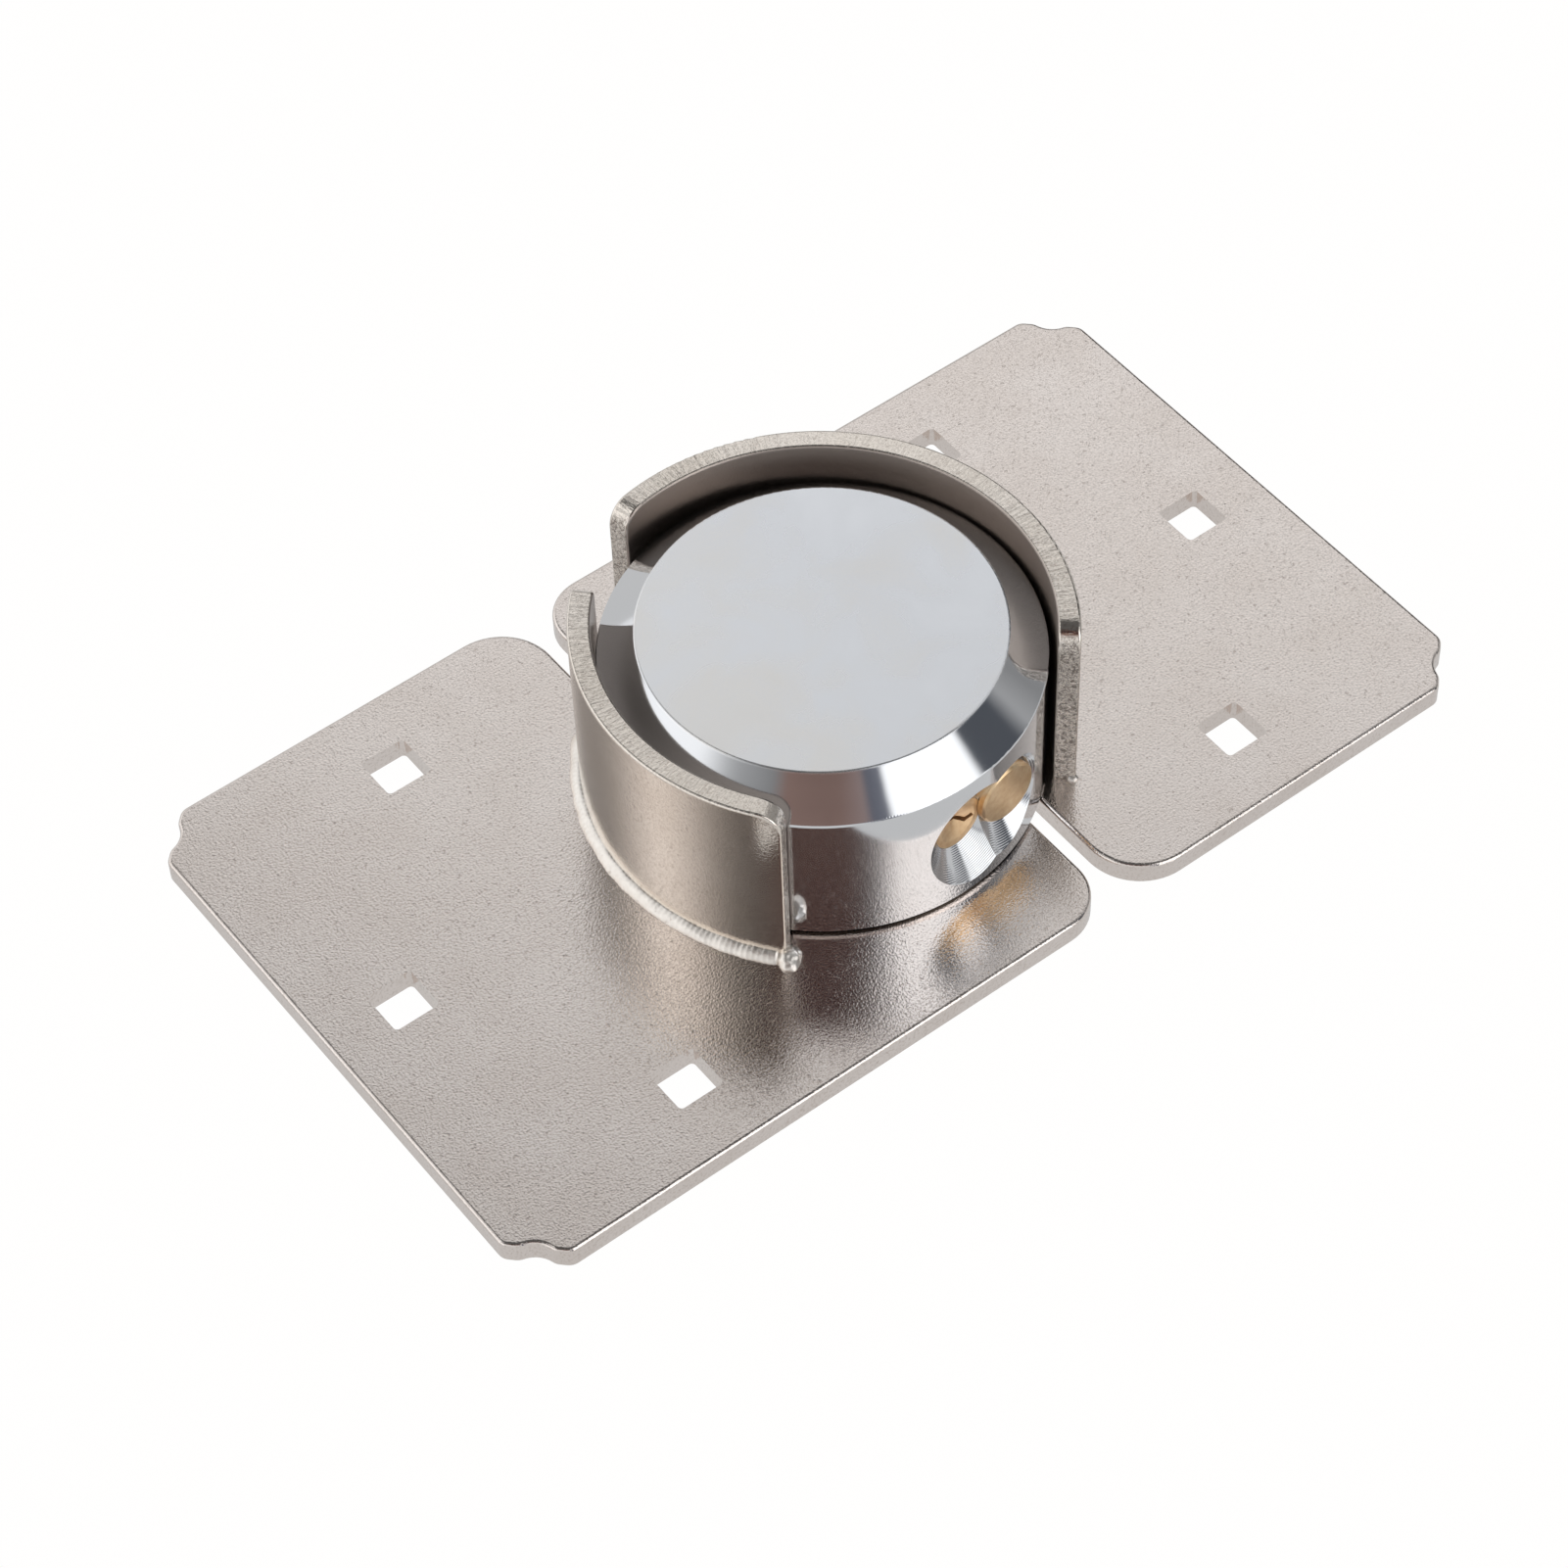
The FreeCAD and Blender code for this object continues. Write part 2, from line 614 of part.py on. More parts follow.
def key_plug():
    """The brass plug with its lip, dished face, bent keyway, wafer slots and squared tail."""
    body = new_body("key_plug")
    section = new_sketch(body, "XY_Plane")
    clip_rear = f"(-{CLIP_FRONT} + clip_thickness)"
    polygon(section, [
        ("0", f"-{KEY_FACE} + plug_dish_depth"), ("plug_dish_radius", f"-{KEY_FACE}"),
        ("plug_lip_radius", f"-{KEY_FACE}"), ("plug_lip_radius", LIP_REAR),
        ("plug_radius", LIP_REAR), ("plug_radius", f"-{PLUG_REAR}"),
        ("tail_radius", f"-{PLUG_REAR}"), ("tail_radius", f"-{CLIP_FRONT}"),
        ("clip_groove_radius", f"-{CLIP_FRONT}"), ("clip_groove_radius", clip_rear),
        ("tail_radius", clip_rear), ("tail_radius", f"-{PLUG_REAR} + tail_length"),
        ("0", f"-{PLUG_REAR} + tail_length"),
    ])
    turn(body, "Revolution", section)
    cut_keyway(body)
    for wafer in range(len(WINDOW_STEPS)):
        cut_wafer_slot(body, wafer)
    drive = new_sketch(body, "XZ_Plane", out=PLUG_REAR)
    rectangle(drive, "-plug_radius", "-plug_radius", "plug_radius", "plug_radius")
    rectangle(drive, "-drive_square / 2", "-drive_square / 2",
              "drive_square / 2", "drive_square / 2")
    extrude(body, "Pocket", drive, f"{PLUG_REAR} - {CAM_REAR}")
    return place_in_plug(body)


def cut_keyway(body):
    """Cut the keyway through the plug: a straight slot whose one end bends off."""
    keyway = new_sketch(body, "XZ_Plane", out=KEY_FACE)
    half = "(keyway_width / 2)"
    mitre = f"{half} * tan({ARM_TURN} / 2)"
    tip = f"(keyway_straight + keyway_arm * cos({ARM_TURN}))"
    rise = f"(keyway_offset + keyway_arm * sin({ARM_TURN}))"
    polygon(keyway, [
        ("-keyway_reach", f"keyway_offset - {half}"),
        (f"keyway_straight + {mitre}", f"keyway_offset - {half}"),
        (f"{tip} + {half} * sin({ARM_TURN})", f"{rise} - {half} * cos({ARM_TURN})"),
        (f"{tip} - {half} * sin({ARM_TURN})", f"{rise} + {half} * cos({ARM_TURN})"),
        (f"keyway_straight - {mitre}", f"keyway_offset + {half}"),
        ("-keyway_reach", f"keyway_offset + {half}"),
    ])
    extrude(body, "Pocket", keyway, f"{KEY_FACE} - {PLUG_REAR}")


def cut_wafer_slot(body, wafer):
    """Cut one wafer's slot across the plug, stepped so that its spring has a wall to push on."""
    out = f"-{wafer_place(wafer)} + wafer_clearance"
    thick = "wafer_thickness + 2 * wafer_clearance"
    wide = "plug_lip_radius"
    deep = "(wafer_depth + wafer_clearance)"
    through = new_sketch(body, "XZ_Plane", out=out)
    rectangle(through, f"-{wide}", "-wafer_shoulder", wide, deep)
    extrude(body, "Pocket", through, thick)
    stepped = new_sketch(body, "XZ_Plane", out=out)
    rectangle(stepped, f"-{wide}", f"-{deep}", "wafer_spring_room", "-wafer_shoulder")
    extrude(body, "Pocket", stepped, thick)


def wafers():
    """The brass wafers, each with an ear for its spring and a window cut to the key."""
    plates = []
    for wafer, step in enumerate(WINDOW_STEPS):
        plate = box("-wafer_half_length", wafer_place(wafer), "wafer_clearance - wafer_shoulder",
                    "2 * wafer_half_length", "wafer_thickness",
                    "wafer_depth + wafer_shoulder - wafer_clearance")
        ear = box("-wafer_half_length + wafer_clearance * 4", wafer_place(wafer), "-wafer_depth",
                  "wafer_half_length - wafer_clearance * 4", "wafer_thickness",
                  "2 * wafer_depth")
        window = box(f"{step} * window_step - wafer_window", f"{wafer_place(wafer)} - 1",
                     "keyway_offset - keyway_width", "2 * wafer_window", "wafer_thickness + 2",
                     "wafer_window_height")
        cut = doc.addObject("Part::Cut", "Cut")
        cut.Base, cut.Tool = joined(plate, ear), window
        plates.append(cut)
    return place_in_plug(compound("wafers", plates))


def box(left, front, low, length, depth, tall):
    """A box drawn round the plug's axis."""
    piece = doc.addObject("Part::Box", "Box")
    for side, text in (("Length", length), ("Width", depth), ("Height", tall)):
        piece.setExpression(side, tied(text))
    return place(piece, left, front, low)


def cylinder(radius, length, across, along, up):
    """An upright cylinder in the padlock's frame."""
    piece = doc.addObject("Part::Cylinder", "Cylinder")
    piece.setExpression("Radius", tied(radius))
    piece.setExpression("Height", tied(length))
    return place(piece, across, along, up)


def cone(foot, head, length, across, along, up):
    """An upright cone in the padlock's frame."""
    piece = doc.addObject("Part::Cone", "Cone")
    piece.setExpression("Radius1", tied(foot))
    piece.setExpression("Radius2", tied(head))
    piece.setExpression("Height", tied(length))
    return place(piece, across, along, up)


def joined(first, second):
    """Fuse two pieces into one solid."""
    piece = doc.addObject("Part::Fuse", "Fuse")
    piece.Base, piece.Tool = first, second
    return piece


def compound(label, pieces):
    """Keep like pieces together as one node of separate solids."""
    piece = doc.addObject("Part::Compound", label)
    piece.Label = label
    piece.Links = pieces
    return piece


def coil(length, mean_radius, wire, turns):
    """A coil of squared wire up the Z axis, clear of both ends of the given length."""
    foot = wire + size["spring_end_gap"]
    rise = length - 2 * foot
    helix = Part.makeHelix(rise / turns, rise, mean_radius)
    helix.translate(Vector(0, 0, foot))
    corners = [Vector(mean_radius + across * wire, 0, foot + up * wire)
               for across, up in ((-1, -1), (1, -1), (1, 1), (-1, 1), (-1, -1))]
    return Part.Wire(helix.Edges).makePipeShell([Part.makePolygon(corners)], True, True)


def lock_placement():
    """Where the padlock's frame stands in the hasp's."""
    return Placement(Vector(0, value(LOCK_Y), value(LOCK_Z)),
                     Rotation(Vector(0, 0, 1), size["lock_turn"]))


def shaped(label, shape):
    """Keep a shape that is made by hand as a piece of the document."""
    piece = doc.addObject("Part::Feature", label)
    piece.Label = label
    piece.Shape = shape
    return piece


def wafer_springs():
    """One folded strip beside each wafer's ear, between it and the end of its slot."""
    half = size["wafer_strip"] / 2
    low, high = half - size["wafer_depth"], -half - size["wafer_shoulder"]
    folds = 2 * WAFER_SPRING_FOLDS
    across = [size["wafer_spring_room"] * fold / folds for fold in range(folds + 1)]
    middle = [high if fold % 2 else low for fold in range(folds + 1)]
    wave = list(zip(across, middle))
    outline = [(x, z - half) for x, z in wave] + [(x, z + half) for x, z in reversed(wave)]
    strips = []
    for wafer in range(len(WINDOW_STEPS)):
        front = value(wafer_place(wafer))
        corners = [Vector(x, front, z) for x, z in outline + outline[:1]]
        face = Part.Face(Part.makePolygon(corners))
        strips.append(face.extrude(Vector(0, size["wafer_thickness"], 0)))
    return place_in_plug(shaped("wafer_springs", Part.Compound(strips)))


def cam():
    """The steel cam on the plug's tail, whose finger stands in the bolt's notch."""
    body = new_body("cam")
    hub = new_sketch(body, "XZ_Plane", out=CAM_REAR)
    circle(hub, "0", "0", "cam_hub_radius")
    extrude(body, "Pad", hub, "cam_thickness")
    finger = new_sketch(body, "XZ_Plane", out=CAM_REAR)
    polygon(finger, [counter_swung("0", "-cam_finger_width / 2"),
                     counter_swung("cam_finger_reach", "-cam_finger_width / 2"),
                     counter_swung("cam_finger_reach", "cam_finger_width / 2"),
                     counter_swung("0", "cam_finger_width / 2")])
    extrude(body, "Pad", finger, "cam_thickness")
    square = new_sketch(body, "XZ_Plane", out=CAM_FRONT)
    fit = "(drive_square / 2 + bore_clearance)"
    rectangle(square, f"-{fit}", f"-{fit}", fit, fit)
    extrude(body, "Pocket", square, "cam_thickness")
    return place_in_plug(body)


def counter_swung(along, across):
    """A point that stays level once its piece is turned with the keyway."""
    return (f"({along}) * cos({KEYWAY_TURN}) - ({across}) * sin({KEYWAY_TURN})",
            f"({across}) * cos({KEYWAY_TURN}) + ({along}) * sin({KEYWAY_TURN})")


def cam_clip():
    """The open clip in the tail's groove that holds the cam and the plug."""
    body = new_body("cam_clip")
    ring = new_sketch(body, "XZ_Plane", out=f"({CLIP_FRONT} - clip_thickness)")
    circle(ring, "0", "0", "clip_radius")
    circle(ring, "0", "0", "clip_groove_radius")
    extrude(body, "Pad", ring, "clip_thickness")
    mouth = new_sketch(body, "XZ_Plane", out=CLIP_FRONT)
    rectangle(mouth, "-clip_groove_radius * 0.8", "-clip_radius - 1",
              "clip_groove_radius * 0.8", "0")
    extrude(body, "Pocket", mouth, "clip_thickness")
    return place_in_plug(body)


def bolt():
    """The steel bolt, notched for the cam and grooved below for its stop pin."""
    body = new_body("bolt")
    section = new_sketch(body, "XY_Plane", across="bolt_offset", out="keyhole_height")
    stem_end = f"(-{CAP_REAR} + cap_stem_length)"
    polygon(section, [
        ("cap_stem_radius", f"-{CAP_REAR}"), ("bolt_radius", f"-{CAP_REAR}"),
        ("bolt_radius", f"{BOLT_TIP} - bolt_tip_chamfer"),
        ("bolt_radius - bolt_tip_chamfer", BOLT_TIP), ("0", BOLT_TIP),
        ("0", stem_end), ("cap_stem_radius", stem_end),
    ])
    turn(body, "Revolution", section)
    notch = new_sketch(body, "XY_Plane", out="keyhole_height - bolt_radius")
    rectangle(notch, "bolt_offset - 2 * bolt_radius", f"-{CAM_FRONT} - notch_gap",
              "-key_offset + cam_finger_reach + notch_gap",
              f"-{CAM_REAR} + notch_free_play + notch_gap")
    extrude(body, "Pocket", notch, "2 * bolt_radius", backwards=True)
    groove = new_sketch(body, "XY_Plane", across="bolt_offset", out="keyhole_height - bolt_radius")
    side = "(stop_pin_radius + bolt_clearance)"
    rectangle(groove, f"-{side}", f"-{STOP_PIN} - {side}",
              side, f"-{STOP_PIN} + bolt_travel + {side}")
    extrude(body, "Pocket", groove, "stop_groove_depth", backwards=True)
    return place_in_lock(body)


def bolt_cap():
    """The brass cap, whose stem is pressed into the bolt's front end."""
    body = new_body("bolt_cap")
    section = new_sketch(body, "XY_Plane", across="bolt_offset", out="keyhole_height")
    stem_end = f"(-{CAP_REAR} + cap_stem_length)"
    polygon(section, [
        ("0", f"-{CAP_FACE}"), ("cap_radius - cap_edge_chamfer", f"-{CAP_FACE}"),
        ("cap_radius", f"-{CAP_FACE} + cap_edge_chamfer"), ("cap_radius", f"-{CAP_REAR}"),
        ("cap_stem_radius", f"-{CAP_REAR}"), ("cap_stem_radius", stem_end), ("0", stem_end),
    ])
    turn(body, "Revolution", section)
    return place_in_lock(body)


def bolt_spring():
    """The coil round the bolt's neck that pushes it out when the cam lets go."""
    wire = size["spring_wire_radius"]
    mean = size["bolt_radius"] + size["spring_clearance"] + wire
    spring = coil(value(f"{CAP_REAR} - {SPRING_SEAT}"), mean, wire, BOLT_SPRING_TURNS)
    laid = Placement(Vector(size["bolt_offset"], -value(SPRING_SEAT), size["keyhole_height"]),
                     Rotation(Vector(1, 0, 0), 90))
    piece = shaped("bolt_spring", spring)
    piece.Placement = lock_placement().multiply(laid)
    return piece


def bolt_stop_pin():
    """The dowel that stands in the bolt's groove and keeps the bolt in the body."""
    length = "(keyhole_height - bolt_radius + stop_groove_depth - notch_gap - cover_thickness)"
    pin = cylinder("stop_pin_radius", length, "bolt_offset", f"-{STOP_PIN}", "cover_thickness")
    return place_in_lock(compound("bolt_stop_pin", [pin]))


def mechanism_cover():
    """The plate let into the underside, over the cam and the stop pin."""
    body = new_body("mechanism_cover")
    outline = new_sketch(body, "XY_Plane")
    rectangle(outline, COVER_LEFT, f"-{COVER_FRONT}", COVER_RIGHT, f"-{COVER_REAR}")
    extrude(body, "Pad", outline, "cover_thickness")
    for across, along in SCREW_PLACES:
        sink = new_sketch(body, "XZ_Plane", across=across, out=f"-{along}")
        polygon(sink, [
            ("0", "0"), ("screw_head_radius", "0"),
            ("screw_radius", "screw_head_radius - screw_radius"),
            ("screw_radius", "cover_thickness + 1"), ("0", "cover_thickness + 1"),
        ])
        turn(body, "Groove", sink)
    return place_in_lock(body)


def cover_screws():
    """The countersunk screws of the cover."""
    screws = []
    for across, along in SCREW_PLACES:
        head = cone("screw_head_radius", "screw_radius", "screw_head_radius - screw_radius",
                    across, along, "0")
        stem = cylinder("screw_radius", "screw_length", across, along, "0")
        screws.append(joined(head, stem))
    return place_in_lock(compound("cover_screws", screws))


pieces = [
    leaf("left_leaf", "1", "0"),
    guard("left_guard", "1", "left_guard_start", "left_guard_sweep", True),
    guard_weld("left_guard_weld", "1", "left_guard_start", "left_guard_sweep"),
    staple("left_staple", "0"),
    staple_weld("left_staple_weld", "0"),
    leaf("right_leaf", "-1", "180"),
    guard("right_guard", "-1", "right_guard_start", "right_guard_sweep", False),
    guard_weld("right_guard_weld", "-1", "right_guard_start", "right_guard_sweep"),
    staple("right_staple", "180"),
    staple_weld("right_staple_weld", "180"),
    padlock_body(),
    key_plug(),
    wafers(),
    wafer_springs(),
    cam(),
    cam_clip(),
    bolt(),
    bolt_cap(),
    bolt_spring(),
    bolt_stop_pin(),
    mechanism_cover(),
    cover_screws(),
]
doc.recompute()

for item in doc.Objects:
    if "Invalid" in item.State or "Error" in item.State:
        raise RuntimeError(f"{item.Name} failed: {item.State}")
for piece in pieces:
    if piece.Shape.isNull() or not piece.Shape.isValid():
        raise RuntimeError(f"{piece.Label} has no valid shape")

os.makedirs("parts", exist_ok=True)
for piece in pieces:
    piece.Shape.exportStep(f"parts/{piece.Label}.step")
    print(piece.Label, len(piece.Shape.Solids), round(piece.Shape.Volume, 1))
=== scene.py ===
import math

import bmesh
import bpy
from mathutils import Matrix, Vector, noise


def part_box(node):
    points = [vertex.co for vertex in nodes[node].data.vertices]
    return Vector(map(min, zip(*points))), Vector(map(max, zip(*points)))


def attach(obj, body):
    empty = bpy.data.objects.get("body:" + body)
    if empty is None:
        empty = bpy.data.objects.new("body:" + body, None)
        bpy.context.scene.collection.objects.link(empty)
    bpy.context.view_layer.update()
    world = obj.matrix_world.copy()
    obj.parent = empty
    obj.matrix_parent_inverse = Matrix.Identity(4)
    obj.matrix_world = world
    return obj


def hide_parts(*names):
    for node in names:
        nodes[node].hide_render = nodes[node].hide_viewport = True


# A plate hasp of two welded leaves and the round padlock that joins them.
# Metres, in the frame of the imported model: +X to the right leaf, +Z up, keyhole towards -Y.
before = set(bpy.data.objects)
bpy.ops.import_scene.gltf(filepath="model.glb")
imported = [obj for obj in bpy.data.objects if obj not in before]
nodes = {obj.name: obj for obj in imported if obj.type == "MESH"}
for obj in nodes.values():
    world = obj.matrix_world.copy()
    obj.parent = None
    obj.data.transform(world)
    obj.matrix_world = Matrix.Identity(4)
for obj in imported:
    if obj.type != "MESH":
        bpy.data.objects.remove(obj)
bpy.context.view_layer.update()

# The studio: one camera about 0.7 m off, and a white table.
# The surroundings are soft panels with dark gaps between, which is what the bright metal mirrors.
MM = 0.001
CAMERA_TARGET = Vector((-8.599, -2.945, 4.0)) * MM
CAMERA_DISTANCE = 724.156 * MM
CAMERA_AZIMUTH = math.radians(-125.841)
CAMERA_ELEVATION = math.radians(51.242)
CAMERA_ROLL = math.radians(-2.253)
SENSOR_WIDTH = 36.0
FOCAL_LENGTH = 4486.0 / 1601.0 * SENSOR_WIDTH
scene = bpy.context.scene
scene.view_settings.view_transform = "Standard"


def put(tree, kind, inputs=None, **settings):
    """Add a node to a tree, with its settings and with values or links on its inputs."""
    node = tree.nodes.new(kind)
    for name, setting in settings.items():
        setattr(node, name, setting)
    for name, given in (inputs or {}).items():
        if isinstance(given, bpy.types.NodeSocket):
            tree.links.new(given, node.inputs[name])
        else:
            node.inputs[name].default_value = given
    return node


def sum_of(tree, operation, *terms, clamp=False):
    """One arithmetic step between links or numbers."""
    step = put(tree, "ShaderNodeMath", dict(enumerate(terms)), operation=operation,
               use_clamp=clamp)
    return step.outputs[0]


def spread(tree, value, start, stop, low=0.0, high=1.0, **settings):
    """Carry a value that runs from start to stop over to low and high, and no farther."""
    inputs = {"Value": value, 1: start, 2: stop, 3: low, 4: high}
    return put(tree, "ShaderNodeMapRange", inputs, **settings).outputs[0]


def blend(tree, amount, first, second):
    """A colour between two, each a link or three numbers."""
    ends = [given if isinstance(given, bpy.types.NodeSocket) else (*given, 1)
            for given in (first, second)]
    mix = put(tree, "ShaderNodeMix", {"Factor": amount, 6: ends[0], 7: ends[1]},
              data_type="RGBA")
    return mix.outputs[2]


def set_camera():
    """Place the camera from its target, distance and angles."""
    flat = math.cos(CAMERA_ELEVATION)
    back = Vector((math.cos(CAMERA_AZIMUTH) * flat, math.sin(CAMERA_AZIMUTH) * flat,
                   math.sin(CAMERA_ELEVATION)))
    side = Vector((0, 0, 1)).cross(back).normalized()
    top = back.cross(side)
    right = side * math.cos(CAMERA_ROLL) + top * math.sin(CAMERA_ROLL)
    up = top * math.cos(CAMERA_ROLL) - side * math.sin(CAMERA_ROLL)
    lens = bpy.data.cameras.new("camera")
    lens.sensor_width = SENSOR_WIDTH
    lens.lens = FOCAL_LENGTH
    lens.clip_start = 0.01
    camera = bpy.data.objects.new("camera", lens)
    turn = Matrix((right, up, back)).transposed().to_4x4()
    camera.matrix_world = Matrix.Translation(CAMERA_TARGET + back * CAMERA_DISTANCE) @ turn
    scene.collection.objects.link(camera)
    scene.camera = camera


# Panels and gaps round the room by compass angle, each with its brightness or its colour:
# far ones below 34 degrees up, low ones near 42 and high ones above 53, under a dim ceiling
ROOM_POWER = 1.3
BROWN_GAP = (0.034, 0.018, 0.017)
BROWN_PANEL = (0.21, 0.14, 0.12)
BROWN_EDGE = (0.24, 0.18, 0.17)
GREY_GAP = (0.10, 0.105, 0.13)
DARK_GAP = (0.065, 0.07, 0.08)
FAR_ROOM = (
    (0, 0.24), (8, 0.10), (14, 0.045), (38, 0.045), (52, 0.30), (80, 0.55), (105, 0.75),
    (140, 0.85), (190, 0.8), (204, 0.55), (250, 0.50), (256, GREY_GAP), (263, GREY_GAP),
    (266, 1.0), (306, 1.0), (309, DARK_GAP), (328, DARK_GAP), (335, 0.3), (346, 0.2),
)
LOW_ROOM = (
    (0, 0.50), (20, 0.64), (42, 0.72), (66, 0.72), (90, 0.4), (120, 0.40), (150, 0.45),
    (190, 0.26), (204, 0.20), (212, BROWN_PANEL), (240, BROWN_PANEL), (252, BROWN_EDGE),
    (256, GREY_GAP), (263, GREY_GAP), (266, 1.0), (306, 1.0), (309, DARK_GAP), (328, DARK_GAP),
    (335, 0.42), (346, 0.32),
)
HIGH_ROOM = (
    (0, 0.36), (20, 0.44), (42, 0.47), (64, 0.49), (72, 0.32), (80, 0.16), (112, 0.16),
    (134, 0.6), (143, 0.95), (154, 0.88), (162, 0.62), (170, 0.40), (178, 0.20), (186, 0.07),
    (193, 0.04), (200, BROWN_GAP), (247, BROWN_GAP), (256, 0.08), (262, 0.28), (268, 0.95),
    (302, 0.95), (308, DARK_GAP), (319, DARK_GAP), (326, 0.15), (340, 0.19),
)
CEILING = (0.08, 0.08, 0.08)
# Where each gives way to the next, as sines of the height above the table
FAR_TO_LOW = (0.56, 0.66)
LOW_TO_HIGH = (0.68, 0.80)
HIGH_TO_CEILING = (0.84, 0.93)


def room_ring(tree, turns, bands):
    """One ring of panels and gaps, as a colour."""
    ring = put(tree, "ShaderNodeValToRGB", {"Fac": turns})
    stops = ring.color_ramp.elements
    for degrees, bright in (*bands, (360, bands[0][1])):
        ends = {0: 0, 360: len(stops) - 1}
        stop = stops[ends[degrees]] if degrees in ends else stops.new(degrees / 360)
        stop.color = (*(bright if isinstance(bright, tuple) else (bright,) * 3), 1)
    return ring.outputs["Color"]


def set_room():
    """Surround the table with the three rings below a plain dim ceiling."""
    world = bpy.data.worlds.new("room")
    scene.world = world
    world.use_nodes = True
    tree = world.node_tree
    tree.nodes.clear()
    place = put(tree, "ShaderNodeTexCoord")
    axes = put(tree, "ShaderNodeSeparateXYZ", {"Vector": place.outputs["Generated"]})
    angle = sum_of(tree, "ARCTAN2", axes.outputs["Y"], axes.outputs["X"])
    turns = sum_of(tree, "FRACT", sum_of(tree, "MULTIPLY", angle, 1 / math.tau))
    room = room_ring(tree, turns, FAR_ROOM)
    for heights, ring in ((FAR_TO_LOW, room_ring(tree, turns, LOW_ROOM)),
                          (LOW_TO_HIGH, room_ring(tree, turns, HIGH_ROOM)),
                          (HIGH_TO_CEILING, CEILING)):
        risen = spread(tree, axes.outputs["Z"], *heights, interpolation_type="SMOOTHSTEP")
        room = blend(tree, risen, room, ring)
    shine = put(tree, "ShaderNodeBackground", {"Color": room, "Strength": ROOM_POWER})
    out = put(tree, "ShaderNodeOutputWorld")
    tree.links.new(shine.outputs[0], out.inputs[0])


# One soft square panel stands in the bright place of the room in front of the table
LAMP_PLACE = Vector((0.30, -1.15, 0.55))
LAMP_SIDE = 0.6
LAMP_POWER = 0.6


def add_lamp():
    """Hang the soft panel, turned to the object."""
    panel = bpy.data.lights.new("lamp_front", "AREA")
    panel.shape = "SQUARE"
    panel.size = LAMP_SIDE
    panel.energy = LAMP_POWER
    lamp = bpy.data.objects.new("lamp_front", panel)
    lamp.location = LAMP_PLACE
    lamp.rotation_euler = (LAMP_PLACE - CAMERA_TARGET).to_track_quat("Z", "Y").to_euler()
    scene.collection.objects.link(lamp)


# The table is lit to plain white for the camera, and is a light grey in what the metal mirrors
TABLE_RADIUS = 3.0
TABLE_COLOUR = (1, 0.995, 0.99, 1)
TABLE_SEEN = 1.0
TABLE_MIRRORED = 0.60


def add_table():
    """Lay the white table under the hasp."""
    sheet = bmesh.new()
    bmesh.ops.create_circle(sheet, cap_ends=True, radius=TABLE_RADIUS, segments=96)
    mesh = bpy.data.meshes.new("table")
    sheet.to_mesh(mesh)
    sheet.free()
    table = bpy.data.objects.new("table", mesh)
    scene.collection.objects.link(table)
    paint = bpy.data.materials.new("table_white")
    paint.use_nodes = True
    tree = paint.node_tree
    tree.nodes.clear()
    ray = put(tree, "ShaderNodeLightPath")
    bright = spread(tree, ray.outputs["Is Camera Ray"], 0.0, 1.0, TABLE_MIRRORED, TABLE_SEEN)
    lit = put(tree, "ShaderNodeEmission", {"Color": TABLE_COLOUR, "Strength": bright})
    out = put(tree, "ShaderNodeOutputMaterial")
    tree.links.new(lit.outputs[0], out.inputs["Surface"])
    mesh.materials.append(paint)


set_camera()
set_room()
add_lamp()
add_table()

# The two leaves: blanks sheared from hot rolled steel plate 4 mm thick, tumbled and nickel plated.
# The plate keeps the fine pebbled skin of the rolled stock, and its sheared sides keep their tears.
NICKEL = (0.87, 0.805, 0.765)
NICKEL_SHADE = (0.83, 0.76, 0.715)
NICKEL_PIT = (0.50, 0.42, 0.37)
GRAIN_TONE = 0.32
PIT_TONE = 0.4
PIT_DEPTH = 0.25
# How often pits and clouds come, as shares of how often the grains come
PITS_PER_GRAIN = 0.42
CLOUDS_PER_GRAIN = 0.03
PLATE_GRAIN = 0.40 * MM
PLATE_GRAIN_DEPTH = 0.046 * MM
TEAR = 0.55 * MM
TEAR_DEPTH = 0.05 * MM
TEAR_STRETCH = (1, 1, 0.14)


def new_group(name, inputs, outputs):
    """Start a shared node group with plain number, vector or colour sockets."""
    group = bpy.data.node_groups.new(name, "ShaderNodeTree")
    for side, sockets in (("INPUT", inputs), ("OUTPUT", outputs)):
        for label, kind in sockets:
            group.interface.new_socket(name=label, in_out=side, socket_type=f"NodeSocket{kind}")
    return group, put(group, "NodeGroupInput"), put(group, "NodeGroupOutput")


def hand_out(group, out, **results):
    """Join the results of a shared group to its outputs."""
    for name, result in results.items():
        group.links.new(result, out.inputs[name])


def mottle(tree, place, scale, detail=2.0, roughness=0.5, distortion=0.0):
    """Soft uneven spots, as a number from 0 to 1."""
    spots = put(tree, "ShaderNodeTexNoise", {
        "Vector": place, "Scale": scale, "Detail": detail, "Roughness": roughness,
        "Distortion": distortion})
    return spots.outputs["Fac"]


